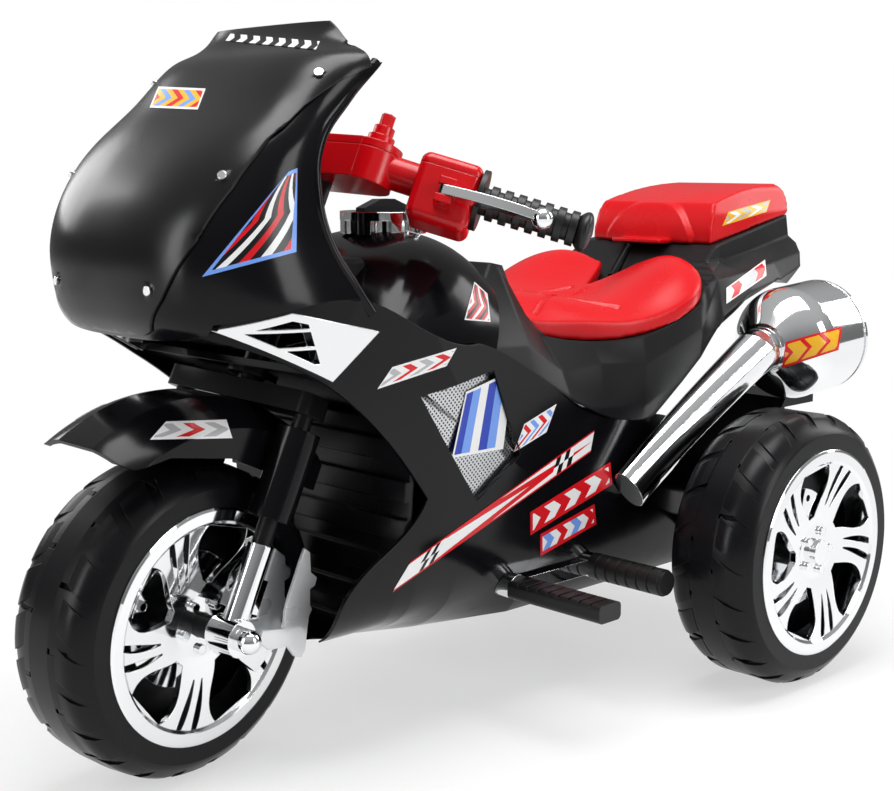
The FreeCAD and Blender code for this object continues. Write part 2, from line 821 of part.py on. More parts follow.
def make_bar_bolts():
    bolts = []
    for sign in (-1, 1):
        low = bar_height + bar_block_height / 2
        pieces = []
        for radius, share in zip(bolt_step_radii, bolt_step_shares):
            step = bolt_height * share
            if radius == bolt_step_radii[-1]:
                hexagon = Part.makePolygon([
                    vec(
                        radius * math.cos(i * math.pi / 3),
                        sign * bolt_spread + radius * math.sin(i * math.pi / 3), low,
                    )
                    for i in range(7)])
                pieces.append(Part.Face(hexagon).extrude(vec(0, 0, step)))
            else:
                pieces.append(tube_z(radius, low, low + step, 0.0, sign * bolt_spread))
            low = low + step
        bolts.append(fuse_all(pieces))
    return Part.makeCompound(bolts)


def make_grip():
    body_end = grip_length - grip_bulb_length
    pitch = (body_end - grip_flange_width) / grip_rib_count
    corners = [(stub_radius, 0.0), (grip_flange_radius, 0.0), (grip_flange_radius, grip_flange_width)]
    for index in range(grip_rib_count):
        low = grip_flange_width + index * pitch
        corners.append((grip_radius, low))
        corners.append((grip_radius, low + pitch * grip_rib_gap_share))
        corners.append((grip_radius + grip_rib_height, low + pitch * (1 + grip_rib_gap_share) / 3))
        corners.append((grip_radius + grip_rib_height, low + pitch))
    corners.append((grip_radius, body_end))
    top = [
        (grip_radius, body_end), (grip_bulb_radius, body_end + grip_bulb_length * grip_bulb_share),
        (0.0, grip_length),
    ]
    ends = [[(0.0, grip_length), (0.0, body_end)], [(0.0, body_end), (stub_radius, body_end)],
            [(stub_radius, body_end), (stub_radius, 0.0)]]
    return at_grip(revolved(straight_runs(corners) + [top] + ends))


def make_lever():
    tip_x = lever_root_x + lever_reach
    half = lever_width / 2
    tip = half * lever_tip_share
    end_y = lever_root_y + lever_length
    outline = [
        [(lever_root_x - half, lever_root_y), (lever_root_x - half, lever_root_y + half)],
        [
            (lever_root_x - half, lever_root_y + half),
            (tip_x - half, lever_root_y + lever_length / 2), (tip_x - tip, end_y),
        ],
        [(tip_x - tip, end_y), (tip_x + tip, end_y)],
        [
            (tip_x + tip, end_y), (tip_x + half, lever_root_y + lever_length / 2),
            (lever_root_x + half, lever_root_y),
        ],
        [(lever_root_x + half, lever_root_y), (lever_root_x - half, lever_root_y)],
    ]
    low = -lever_drop - lever_thickness / 2
    blade = flat_face(outline, lambda x, y: vec(x, y, low)).extrude(vec(0, 0, lever_thickness))
    root = tube_z(half, low, low + lever_thickness, lever_root_x, lever_root_y)
    ball = Part.makeSphere(lever_ball_radius, vec(tip_x, end_y, -lever_drop))
    hole = tube_z(lever_pin_radius + running_clearance, -overrun, overrun, lever_root_x, lever_root_y)
    return at_grip(fuse_all([blade, root, ball]).cut(hole))


def make_lever_pin():
    return at_grip(tube_z(lever_pin_radius, ear_low, ear_high, lever_root_x, lever_root_y))


# Body halves
def body_side_outline():
    def place(shares):
        return [(body_x(a), body_z(b)) for a, b in shares]
    foot = place(rear_foot_shares)
    return [
        place(nose_seat_shares), place(tub_seat_shares), place(rear_shares),
        [place(rear_shares)[-1], foot[0]], foot,
        [foot[-1], place(chin_shares)[0]], place(chin_shares), place(arch_shares),
        [place(arch_shares)[-1], place(nose_seat_shares)[0]],
    ]


def body_side_block(lift):
    block = side_prism(body_side_outline(), -overrun, overrun)
    block.translate(vec(0, 0, lift))
    return block


def flank_block(inset):
    upper = [(body_half_width * y - inset, body_z(z)) for y, z in flank_shares]
    wires = []
    for along, keel, above in keel_shares:
        low = [
            (body_half_width * keel - inset, floor_z + inset),
            (body_half_width * above - inset, body_z(keel_rise_share)),
        ]
        outline = mirrored_outline(low + upper)
        wires.append(Part.Wire(edges_through(outline, lambda y, z: vec(body_x(along), y, z))))
    return Part.makeLoft(wires, True, True)


def plan_block(inset):
    half = [(body_x(x), body_half_width * y - inset) for x, y in plan_shares]
    return plan_prism(half, -overrun, overrun)


def body_volume(inset):
    return common(body_side_block(0.0), flank_block(inset), plan_block(inset))


def body_inner():
    front = body_front + overrun
    rear = body_x(1.0) + wall
    low = floor_z + wall
    high = top_z + overrun
    roof = [(body_x(a), body_z(b) - wall) for a, b in rear_shares]
    open_x = roof[0][0] + wall
    corners = [
        (front, low), (rear, low), (rear, roof[-1][1]),
    ] + [(max(x, rear), z) for x, z in reversed(roof)]
    corners = corners + [(open_x, roof[0][1]), (open_x, high), (front, high)]
    kept = [corners[0]]
    for corner in corners[1:]:
        if math.dist(corner, kept[-1]) > seam:
            kept.append(corner)
    block = side_prism(polygon_stretches(kept), -overrun, overrun)
    mouth = body_half_width * plan_shares[0][1] - wall
    plan = plan_block(wall).fuse(box((body_front - wall, -mouth, -overrun), (front, mouth, overrun)))
    return common(block, flank_block(wall), plan)


def shares_prism(shares, grow, low_y, high_y):
    wire = Part.Wire(edges_through(polygon_stretches([(body_x(a), body_z(b)) for a, b in shares]),
                                   lambda x, z: vec(x, low_y, z)))
    if grow != 0:
        wire = wire.makeOffset2D(grow)
    return Part.Face(wire).extrude(vec(0, high_y - low_y, 0))


def steer_ribs():
    ribs = []
    for level, (behind, ahead) in zip(rib_levels, rib_reaches):
        rib = box((-behind, -overrun, level), (ahead, overrun, level + rib_thickness))
        ribs.append(raked(rib).common(body_volume(wall / 2)))
    return ribs


# Room that the front wheel needs between its steering stops
def wheel_room():
    half = wheel_width / 2
    crown = [(wheel_radius * r + wheel_arch_gap, half * y + wheel_arch_gap) for r, y in tyre_shoulder_shares]
    outline = [(0.0, crown[-1][1])] + list(reversed(crown))
    wheel = revolved(polygon_stretches(outline + [(r, -y) for r, y in reversed(outline)]))
    room = []
    for step in range(steer_lock_steps + 1):
        turn = steer_lock_degrees * (2 * step / steer_lock_steps - 1)
        copy = wheel.copy()
        copy.rotate(vec(0, 0, 0), vec(0, 0, 1), turn)
        room.append(raked(copy))
    return room


def make_body():
    skin = body_volume(0.0)
    shell = skin.cut(body_inner())
    pockets = []
    holes = []
    deep = body_volume(recess_depth + recess_wall)
    floor = body_volume(recess_depth)
    for low_y, high_y in ((-overrun, 0.0), (0.0, overrun)):
        rim = shares_prism(recess_shares, recess_wall, low_y, high_y)
        pockets.append(rim.common(skin).cut(deep))
        holes.append(shares_prism(recess_shares, 0, low_y, high_y).common(skin).cut(floor))
        holes.append(shares_prism(vent_shares, 0, low_y, high_y))
    shell = fuse_all([shell] + pockets + steer_ribs())
    shell = cut_all(shell, holes)
    below = rib_levels[0] - rib_thickness
    above = rib_levels[-1] + rib_thickness * 2
    bush_hole = raked(tube_z(steer_bush_radius, below, above))
    axle_hole = tube_y(axle_bush_radius, -overrun, overrun, -wheelbase, wheel_radius)
    hatch = box((hatch_x - hatch_length / 2, -hatch_width / 2, floor_z - overrun),
                (hatch_x + hatch_length / 2, hatch_width / 2, floor_z + wall))
    return cut_all(shell, [bush_hole, axle_hole, hatch] + wheel_room())


def body_halves():
    body = make_body()
    left = body.common(box((-overrun, seam / 2, -overrun), (overrun, overrun, overrun)))
    right = body.common(box((-overrun, -overrun, -overrun), (overrun, -seam / 2, overrun)))
    half = switch_length / 2
    tall = switch_height / 2
    switch_hole = box((switch_x - half, -overrun, switch_z - tall), (switch_x + half, 0.0, switch_z + tall))
    socket_hole = tube_y(socket_radius, -overrun, 0.0, socket_x, socket_z)
    drive_hole = tube_y(drive_bush_radius, -overrun, 0.0, -wheelbase, wheel_radius)
    return left, cut_all(right, [switch_hole, socket_hole, drive_hole])


# Chrome side vent: a frame with louvres ahead of a plain rear facet
def make_vent():
    skin = body_volume(0.0).cut(body_volume(vent_depth))
    solid = shares_prism(vent_shares, -seam, 0.0, overrun).common(skin)
    front, top, rear, low = vent_shares
    split_top = (
        top[0] + (rear[0] - top[0]) * vent_split_share,
        top[1] + (rear[1] - top[1]) * vent_split_share,
    )
    window = shares_prism([front, top, split_top, low], -vent_frame, 0.0, overrun)
    high_z = body_z(top[1])
    low_z = body_z(low[1])
    pitch = (high_z - low_z) / (vent_louvre_count + 1)
    bars = []
    for index in range(vent_louvre_count):
        z = low_z + pitch * (index + 1)
        bars.append(box((body_x(1.0), 0.0, z - vent_louvre / 2), (body_front, overrun, z + vent_louvre / 2)))
    return solid.cut(cut_all(window, bars))


def make_mesh_panel():
    sheet = body_volume(recess_depth - mesh_thickness).cut(body_volume(recess_depth))
    panel = shares_prism(recess_shares, -seam, 0.0, overrun).common(sheet)
    holes = []
    low = min(share[1] for share in recess_shares)
    high = max(share[1] for share in recess_shares)
    front = min(share[0] for share in recess_shares)
    rear = max(share[0] for share in recess_shares)
    inside = shares_prism(recess_shares, -mesh_hole_pitch * mesh_edge_share, 0.0, overrun)
    columns = int((body_x(front) - body_x(rear)) / mesh_hole_pitch)
    rows = int((body_z(high) - body_z(low)) / mesh_hole_pitch)
    for column in range(columns):
        for row in range(rows):
            x = body_x(front) - (column + 0.5 * (row % 2)) * mesh_hole_pitch
            z = body_z(low) + (row + 0.5) * mesh_hole_pitch
            if inside.isInside(vec(x, overrun / 2, z), seam, True):
                square = box((x - mesh_hole_radius, 0.0, z - mesh_hole_radius),
                             (x + mesh_hole_radius, overrun, z + mesh_hole_radius))
                holes.append(square)
    return panel.cut(Part.makeCompound(holes))


# Stepped liner that closes the body behind the front wheel
def make_liner():
    near = -(wheel_radius + liner_gap)
    high = body_z(liner_top_share)
    low = floor_z + wall
    corners = [(near - liner_wall - liner_rib_depth, low), (near - liner_wall - liner_rib_depth, high)]
    pitch = (high - low) / liner_rib_count
    for index in range(liner_rib_count):
        top = high - index * pitch
        corners.append((near - liner_rib_depth, top))
        corners.append((near - liner_rib_depth, top - pitch * liner_rib_share))
        corners.append((near, top - pitch * liner_rib_share))
        corners.append((near, top - pitch))
    prism = side_prism(polygon_stretches(corners), -overrun, overrun)
    return common(prism, flank_block(wall + seam), plan_block(wall + seam))


# Nose fairing: blunt rounded sections stacked on the body, open to the rear
def nose_turn(front_x, rear_x, half):
    points = []
    for step in range(nose_steps + 1):
        angle = math.pi * step / nose_steps
        ahead = max(math.sin(angle), 0.0) ** nose_round_share
        aside = abs(math.cos(angle)) ** nose_round_share
        x = rear_x + (front_x - rear_x) * ahead
        points.append((x, math.copysign(half * aside, step * 2 - nose_steps)))
    return points


def nose_marks():
    turn = nose_turn(nose_depth_share, 0.0, 1.0)
    marks = [0.0]
    for (x, y), (next_x, next_y) in zip(turn, turn[1:]):
        marks.append(marks[-1] + math.hypot(next_x - x, next_y - y))
    return marks


def nose_loft(grow, open_rear):
    wires = []
    marks = nose_marks()
    for height, front, rear, width in nose_shares:
        z = top_z + nose_height * height
        front_x = nose_x + nose_height * front + grow
        rear_x = nose_x + nose_height * rear
        half = body_half_width * width + grow
        points = nose_turn(front_x, rear_x, half)
        back = rear_x - open_rear
        ends = [(back, -half), (back, half)]
        if open_rear > 0:
            stretches = [[points[-1], ends[1]], [ends[1], ends[0]], [ends[0], points[0]]]
        else:
            stretches = [[points[-1], points[0]]]
        turn = Part.BSplineCurve()
        turn.interpolate(Points=[vec(x, y, z) for x, y in points], Parameters=marks)
        wires.append(Part.Wire([turn.toShape()] + edges_through(stretches, lambda x, y: vec(x, y, z))))
    return Part.makeLoft(wires, True, False)


def nose_side_points(shares):
    return [(nose_x + nose_height * x, top_z + nose_height * z) for x, z in shares]


def make_nose():
    shell = nose_loft(0.0, 0.0).cut(nose_loft(-nose_wall, overrun))
    top = nose_side_points(nose_top_shares)
    high = top[-1][1]
    beyond = [(-overrun, high), (-overrun, high + overrun), (overrun, high + overrun)]
    above = polygon_stretches([(overrun, top[0][1])] + top + beyond)
    cutters = [side_prism(above, -overrun, overrun), body_side_block(seam), nose_below()]
    return cut_all(shell, cutters + screw_holes())


def nose_below():
    chin = nose_side_points(nose_chin_shares)
    seat = (body_front, body_z(nose_seat_shares[0][1]) + seam)
    rear = body_front - overrun
    corners = chin + [seat, (rear, seat[1]), (rear, floor_z), (chin[0][0], floor_z)]
    return side_prism(polygon_stretches(corners), -overrun, overrun)


def screen_front_block():
    half = [(body_half_width * y, top_z + nose_height * z) for y, z in screen_shares]
    stretches = polygon_stretches(half + [(-y, z) for y, z in reversed(half[1:-1])])
    face = flat_face(stretches, lambda y, z: vec(-overrun, y, z))
    return face.extrude(vec(2 * overrun, 0, 0))


def make_screen():
    sheet = nose_loft(screen_wall + screen_gap, 0.0).cut(nose_loft(screen_gap, overrun))
    side = nose_side_points(screen_side_shares)
    above = side + [(side[-1][0], top_z + overrun), (side[0][0], top_z + overrun)]
    above_seam = side_prism(polygon_stretches(above), -overrun, overrun)
    window = screen_front_block().fuse(above_seam)
    return cut_all(sheet.common(window), screw_holes())


def screw_places():
    skin = nose_loft(screen_wall + screen_gap, 0.0)
    places = []
    for share_y, share_z in screw_shares:
        for sign in (-1, 1):
            y = sign * body_half_width * share_y
            z = top_z + nose_height * share_z
            ray = Part.makeLine(vec(-overrun, y, z), vec(overrun, y, z))
            hit = max(skin.common(ray).Vertexes, key=lambda vertex: vertex.X).Point
            face = min(skin.Faces, key=lambda f: f.distToShape(Part.Vertex(hit))[0])
            u, v = face.Surface.parameter(hit)
            places.append((hit, face.normalAt(u, v)))
    return places


def screw_holes():
    radius = screw_radius * screw_shank_share + screw_gap
    length = 2 * screw_length
    holes = []
    for hit, normal in screw_places():
        holes.append(Part.makeCylinder(radius, 2 * length, hit - normal * length, normal))
    return holes


def make_screen_screws():
    screws = []
    for hit, normal in screw_places():
        shank = Part.makeCylinder(
            screw_radius * screw_shank_share, screw_length, hit - normal * screw_length, normal,
        )
        head = Part.makeCylinder(screw_radius, screw_head, hit + normal * screw_gap, normal)
        neck = Part.makeCylinder(screw_radius * screw_shank_share, screw_head, hit, normal)
        screws.append(shank.fuse(neck).fuse(head).removeSplitter())
    return Part.makeCompound(screws)


# Tank shell, fuel cap and dash block
def tank_volume(inset):
    wires = []
    first = tank_shares[0][0]
    last = tank_shares[-1][0]
    for along, width, rise in tank_shares:
        x = body_x(along) + inset * (1 - 2 * (along - first) / (last - first)) * -1
        half = body_half_width * width - tank_edge - inset
        slope = (along - first) / (last - first)
        base = body_z(tank_base_share + slope * (tank_rear_share - tank_base_share))
        drop = base - body_z(tank_low_share)
        high = tank_height * rise - inset
        cross = [(half * y, base + (drop * z if z < 0 else high * z)) for y, z in tank_cross_shares]
        points = cross + [(-y, z) for y, z in reversed(cross[:-1])]
        wires.append(Part.Wire(edges_through([points, [points[-1], points[0]]], lambda y, z: vec(x, y, z))))
    return Part.makeLoft(wires, True, False)


def column_hole():
    return raked(tube_z(column_radius + column_gap, crown_low, bar_height))


def make_tank():
    shell = tank_volume(0.0).cut(tank_volume(wall))
    return cut_all(shell, [body_side_block(seam), tub_side_block(seam), column_hole()])


def tank_top_z(share):
    ray = Part.makeLine(vec(body_x(share), 0, 0), vec(body_x(share), 0, top_z + overrun))
    return max(vertex.Z for vertex in tank_volume(0.0).common(ray).Vertexes)


def make_filler_ring():
    x = body_x(filler_share)
    low = tank_top_z(filler_share) - filler_sink
    ring = tube_z(filler_ring_radius, low, low + filler_ring_height, x)
    scallops = []
    for index in range(filler_scallop_count):
        angle = 2 * math.pi * index / filler_scallop_count
        scallops.append(tube_z(
            filler_scallop_radius, low - overrun, low + filler_ring_height * filler_scallop_share,
            x + filler_ring_radius * math.cos(angle), filler_ring_radius * math.sin(angle)))
    return cut_all(ring, scallops + [tank_volume(-seam)])


def make_filler_handle():
    x = body_x(filler_share)
    low = tank_top_z(filler_share) - filler_sink + filler_ring_height
    half = filler_handle_length / 2
    corners = [(x + half * a, low + filler_handle_height * b) for a, b in filler_handle_shares]
    outline = polygon_stretches(corners)
    return side_prism(outline, -filler_handle_width / 2, filler_handle_width / 2)


def make_dash():
    x = body_x(dash_share)
    low = tank_top_z(dash_share) - dash_height
    half = dash_width / 2
    dash = box((x - dash_depth / 2, -half, low), (x + dash_depth / 2, half, low + dash_height + dash_rise))
    dash = dash.makeFillet(
        dash_round, [edge for edge in dash.Edges if edge.CenterOfMass.z > low + dash_height],
    )
    return cut_all(dash, [tank_volume(-seam), column_hole()])


# Tail tub, drawn from its own outline and cut to sit on the body
def tub_place(shares):
    return [(tub_x(a), tub_z(b)) for a, b in shares]


def tub_side_block(shift):
    horn = tub_place(horn_shares)
    belly = tub_place(tub_belly_shares)
    below = (horn[0][0], tub_low_z - tub_height)
    foot = (belly[-1][0], below[1])
    box_top = tub_place(box_top_shares)
    outline = straight_runs(horn) + [tub_place(deck_shares)]
    outline = outline + straight_runs(box_top + belly[1:] + [foot, below, horn[0]])
    block = side_prism(outline, -overrun, overrun)
    block.translate(vec(shift, 0, 0))
    return block


def tub_flanks(inset):
    wires = []
    for along, corners in tub_section_shares:
        half = [(tub_half_width * y - inset, tub_z(z)) for y, z in corners]
        stretches = polygon_stretches(half + [(-y, z) for y, z in reversed(half)])
        wires.append(Part.Wire(edges_through(stretches, lambda y, z: vec(tub_x(along), y, z))))
    return Part.makeLoft(wires, True, True)


def tub_volume():
    return common(tub_side_block(0.0), tub_flanks(0.0))


def make_tub():
    outer = tub_volume()
    hollow = tub_side_block(0.0)
    hollow.translate(vec(wall, 0, -wall))
    inner = common(hollow, tub_side_block(-wall), tub_flanks(wall))
    bin_block = box((bin_rear - wall, -bin_half_width - wall, bin_floor - wall),
                    (bin_front + wall, bin_half_width + wall, top_z + overrun))
    bin_block = common(bin_block, tub_flanks(0.0), tub_top_block())
    pocket = box((bin_rear, -bin_half_width, bin_floor), (bin_front, bin_half_width, top_z + overrun))
    swing_half = knuckle_half + swing_clearance
    swing = tube_y(hinge_reach + swing_clearance, -swing_half, swing_half, hinge_x, hinge_z)
    lugs = []
    for sign in (-1, 1):
        ends = sorted([sign * hinge_width / 2, sign * (hinge_width / 2 - hinge_lug_width)])
        lug = tube_y(hinge_reach, ends[0], ends[1], hinge_x, hinge_z)
        foot = box(
            (hinge_x, ends[0], hinge_z - hinge_reach),
            (tub_x(box_top_shares[1][0]) + wall, ends[1], hinge_z),
        )
        lugs.append(lug.fuse(foot))
    tub = fuse_all([outer.cut(inner), bin_block]).cut(swing)
    pin_hole = tube_y(hinge_pin_radius, -overrun, overrun, hinge_x, hinge_z)
    return cut_all(fuse_all([tub] + lugs), [pocket, pin_hole, body_side_block(seam)])


def tub_top_block():
    box_top = tub_place(box_top_shares)
    corners = [
        box_top[0], box_top[1], box_top[2], (box_top[2][0], bin_floor - overrun),
        (box_top[0][0], bin_floor - overrun),
    ]
    return side_prism(polygon_stretches(corners), -overrun, overrun)


# Seat: lofted cross sections with two rear lobes
def above_deck(lift):
    horn = [(x, z + lift) for x, z in tub_place(horn_shares[3:])]
    deck = [(x, z + lift) for x, z in tub_place(deck_shares)]
    high = top_z + overrun
    outline = straight_runs(horn) + [deck]
    outline = outline + straight_runs([deck[-1], (deck[-1][0], high), (horn[0][0], high), horn[0]])
    return side_prism(outline, -overrun, overrun)


def make_seat():
    wires = []
    for along, width, lobe, middle, base in seat_shares:
        x = tub_x(along)
        half = tub_half_width * width
        low = tub_z(base) - seat_edge
        edge = tub_z(base) + seat_edge
        lobe_z = edge + seat_height * lobe
        middle_z = edge + seat_height * middle
        crest = half * seat_lobe_share
        top = [(half, edge), (crest, lobe_z), (0.0, middle_z), (-crest, lobe_z), (-half, edge)]
        stretches = [
            top, [(-half, edge), (-half, low)], [(-half, low), (half, low)],
            [(half, low), (half, edge)],
        ]
        wires.append(Part.Wire(edges_through(stretches, lambda y, z: vec(x, y, z))))
    seat = Part.makeLoft(wires, True, False)
    rear = tub_x(seat_shares[-1][0])
    notch = flat_face(polygon_stretches([
        (rear - seam, -seat_notch_half_width), (rear - seam, seat_notch_half_width),
        (rear + seat_notch_length, 0.0)]),
        lambda x, y: vec(x, y, tub_low_z)).extrude(vec(0, 0, overrun))
    return seat.cut(notch).common(above_deck(seam))


# Storage lid over the bin, hinged at its rear edge
def lid_x(share):
    return tub_x(lid_front_share + share * (lid_rear_share - lid_front_share))


def lid_volume(inset):
    def place(a, b):
        return (lid_x(a) - inset * (1 - 2 * a), lid_low + lid_rise * a + lid_height * b - inset)
    outline = [[place(a, b) for a, b in lid_side_shares[:3]], [place(a, b) for a, b in lid_side_shares[2:5]],
               [place(a, b) for a, b in lid_side_shares[4:]]]
    outline.append([outline[-1][-1], outline[0][0]])
    rise = lid_rise + lid_height
    half = [(lid_half_width * y - inset, lid_low + rise * z - inset) for y, z in lid_cross_shares]
    cross = polygon_stretches(half + [(-y, z) for y, z in reversed(half)])
    face = flat_face(cross, lambda y, z: vec(-overrun, y, z))
    return side_prism(outline, -overrun, overrun).common(face.extrude(vec(2 * overrun, 0, 0)))


def make_lid():
    under = tub_top_block()
    under.translate(vec(0, 0, swing_clearance))
    hollow = lid_volume(wall)
    low_hollow = lid_volume(wall)
    low_hollow.translate(vec(0, 0, -wall))
    shell = lid_volume(0.0).cut(hollow.fuse(low_hollow))
    latch_x = lid_x(0.0)
    latch_low = lid_low + swing_clearance
    latch = box(
        (latch_x - wall, -latch_width / 2, latch_low),
        (latch_x + latch_length, latch_width / 2, latch_low + latch_thickness),
    )
    strap = box(
        (hinge_x, -knuckle_half, hinge_z),
        (lid_x(1.0) + 2 * wall, knuckle_half, hinge_z + hinge_reach),
    )
    tools = [under]
    for sign in (-1, 1):
        ends = sorted([sign * overrun, sign * knuckle_half])
        tools.append(tube_y(hinge_reach + swing_clearance, ends[0], ends[1], hinge_x, hinge_z))
    lid = cut_all(fuse_all([shell, latch, strap]), tools)
    knuckle = tube_y(hinge_reach, -knuckle_half, knuckle_half, hinge_x, hinge_z)
    bore = tube_y(hinge_pin_radius + running_clearance, -overrun, overrun, hinge_x, hinge_z)
    return fuse_all([lid, knuckle]).cut(bore)


def make_hinge_pin():
    return tube_y(hinge_pin_radius, -hinge_width / 2, hinge_width / 2, hinge_x, hinge_z)


# Exhausts on the left, mirrored for the right
def at_muffler(shape):
    copy = shape.copy()
    copy.rotate(vec(0, 0, 0), vec(0, 0, 1), 90)
    copy.rotate(vec(0, 0, 0), vec(0, 1, 0), muffler_tilt_degrees)
    copy.translate(vec(-muffler_front, muffler_side, muffler_z))
    return copy


def make_muffler():
    ring_end = muffler_ring_length
    cone_end = ring_end + muffler_cone_length
    can_end = cone_end + muffler_length
    cone = [(muffler_radius * r, ring_end + muffler_cone_length * along) for along, r in muffler_cone_shares]
    profile = [
        [(0.0, 0.0), (muffler_ring_radius, 0.0)],
        [(muffler_ring_radius, 0.0), (muffler_ring_radius, ring_end)],
        [(muffler_ring_radius, ring_end), cone[0]], cone, [cone[-1], (muffler_radius, can_end)],
        [(muffler_radius, can_end), (0.0, can_end)], [(0.0, can_end), (0.0, 0.0)],
    ]
    return at_muffler(revolved(profile))


def make_muffler_cap():
    start = muffler_ring_length + muffler_cone_length + muffler_length
    end = start + muffler_cap_length
    lip = muffler_cap_radius - wall
    profile = polygon_stretches([
        (0.0, start), (muffler_radius - wall, start), (muffler_radius - wall, start + wall),
        (muffler_radius, start + wall),
        (muffler_radius, start + 2 * wall), (muffler_cap_radius, end), (lip, end), (lip - wall, start + wall),
        (0.0, start + wall)])
    return at_muffler(revolved(profile))


def make_pipe():
    low_z = wheel_radius + pipe_low_height
    end = at_muffler(Part.Vertex(vec(0, 0, 0))).Point
    start = vec(body_x(pipe_low_share), pipe_side, low_z)
    wires = []
    for share, side in pipe_path_shares:
        centre = start + (end - start) * share
        centre.y = start.y + (end.y - start.y) * side
        direction = vec(end.x - start.x, 0, end.z - start.z)
        direction.normalize()
        wide = pipe_wide + (muffler_ring_radius - pipe_wide) * share
        thin = pipe_thin + (muffler_ring_radius - pipe_thin) * share
        ellipse = Part.Ellipse(vec(0, 0, 0), wide, thin)
        wire = Part.Wire([ellipse.toShape()])
        turn = FreeCAD.Rotation(direction.cross(vec(0, 1, 0)), vec(0, 1, 0), direction)
        wire.Placement = FreeCAD.Placement(centre, turn)
        wires.append(wire)
    return cut_all(Part.makeLoft(wires, True, False), [body_volume(-seam), make_muffler()])


def make_muffler_bracket():
    rear = body_x(1.0)
    high = body_z(rear_shares[-1][1])
    can_front = -muffler_front - muffler_ring_length - muffler_cone_length
    can_rear = can_front - muffler_length
    under = muffler_z - muffler_radius
    outline = polygon_stretches([
        (rear, high - bracket_height), (rear, high), (can_front, under + wall), (can_rear, under + wall),
        (can_rear, under - bracket_thickness), (can_front, under - bracket_thickness)])
    bracket = side_prism(outline, body_half_width * plan_shares[-1][1] - bracket_height, muffler_side)
    can = tube_y(muffler_radius, -overrun, overrun)
    return bracket.cut(at_muffler(can))


# Footrests
def make_step_bracket():
    half = step_arm_height / 2
    web = half * step_web_share
    arm = box((rear_peg_x, 0.0, peg_z - web), (peg_x, step_face, peg_z + web))
    ends = [tube_y(half, 0.0, step_face, x, peg_z) for x in (peg_x, rear_peg_x)]
    inner = step_side - 2 * step_arm_thickness
    return fuse_all([arm] + ends).cut(body_volume(-seam)).common(
        box((body_x(1.0), inner, -overrun), (body_front, overrun, overrun)))


def make_pedal_bracket():
    pin = tube_y(pedal_pin_radius, step_side, step_face + peg_length / 2 - seam, peg_x, peg_z)
    return mirrored(fuse_all([make_step_bracket(), pin]))


def make_flat_peg(gap, bore_radius):
    start = step_face + gap
    half = peg_width / 2
    high = peg_z + peg_height / 2
    peg = box((peg_x - half, start, peg_z - peg_height / 2), (peg_x + half, start + peg_length, high))
    peg = peg.makeFillet(peg_round, edges_along(peg, vec(0, 1, 0)))
    pitch = peg_length / (peg_groove_count + 1)
    tools = []
    for index in range(peg_groove_count):
        y = start + pitch * (index + 1)
        corner = (-overrun, y - peg_groove / 2, high - peg_groove)
        tools.append(box(corner, (overrun, y + peg_groove / 2, overrun)))
    if bore_radius > 0:
        tools.append(tube_y(bore_radius, 0.0, step_face + peg_length / 2, peg_x, peg_z))
    return cut_all(peg, tools)


def make_round_peg():
    pitch = rear_peg_length / rear_peg_ring_count
    neck = rear_peg_radius - peg_groove / 2
    corners = [(0.0, step_face)]
    for index in range(rear_peg_ring_count):
        low = step_face + index * pitch
        high = low + pitch
        corners = corners + [
            (rear_peg_radius, low), (rear_peg_radius, high - peg_groove), (neck, high - peg_groove),
            (neck, high),
        ]
    corners.append((0.0, step_face + rear_peg_length))
    peg = revolved(polygon_stretches(corners))
    peg.translate(vec(rear_peg_x, 0, peg_z))
    return peg


# Drive and electrics inside the body
def make_rear_axle():
    reach = rear_wheel_y + hub_half - swing_clearance
    return tube_y(axle_radius, -reach, reach, -wheelbase, wheel_radius)


def make_axle_bushes():
    inner = axle_wall_y - axle_bush_length
    axle = tube_y(axle_radius, -overrun, overrun, -wheelbase, wheel_radius)
    left = tube_y(
        axle_bush_radius, inner, rear_wheel_y - hub_half - swing_clearance, -wheelbase, wheel_radius,
    ).cut(axle)
    sleeve = tube_y(drive_bore_radius, -overrun, overrun, -wheelbase, wheel_radius)
    right = tube_y(
        drive_bush_radius, -axle_wall_y - axle_bush_length, -inner, -wheelbase, wheel_radius,
    ).cut(sleeve)
    return Part.makeCompound([left, right])


def make_gearbox():
    low = -gearbox_side - gearbox_width
    motor_x = -wheelbase + gearbox_reach
    seat = floor_z + wall
    case = tube_y(gearbox_radius, low, -gearbox_side, -wheelbase, wheel_radius)
    snout = tube_y(motor_radius + wall, low, -gearbox_side, motor_x, wheel_radius)
    foot = box((-wheelbase, low, seat), (motor_x, -gearbox_side, wheel_radius + motor_radius))
    above = box((-overrun, -overrun, seat), (overrun, overrun, overrun))
    hole = tube_y(sleeve_radius + swing_clearance, -overrun, overrun, -wheelbase, wheel_radius)
    return fuse_all([case, snout, foot]).common(above).cut(hole)


def make_motor():
    motor_x = -wheelbase + gearbox_reach
    return tube_y(motor_radius, -gearbox_side, -gearbox_side + motor_length, motor_x, wheel_radius)


def make_drive_sleeve():
    low = -(rear_wheel_y - hub_half)
    sleeve = tube_y(sleeve_radius, low, -gearbox_side, -wheelbase, wheel_radius)
    return sleeve.cut(tube_y(axle_radius + running_clearance, -overrun, overrun, -wheelbase, wheel_radius))


def make_battery():
    low = floor_z + wall
    return box((hatch_x - battery_length / 2, -battery_width / 2, low),
               (hatch_x + battery_length / 2, battery_width / 2, low + battery_height))


def make_hatch():
    half = hatch_length / 2 - seam
    side = hatch_width / 2 - seam
    return box((hatch_x - half, -side, floor_z), (hatch_x + half, side, floor_z + wall))


def make_control_box():
    x = body_x(control_share)
    low = floor_z + wall
    return box(
        (x - control_length / 2, -control_width / 2, low),
        (x + control_length / 2, control_width / 2, low + control_height),
    )


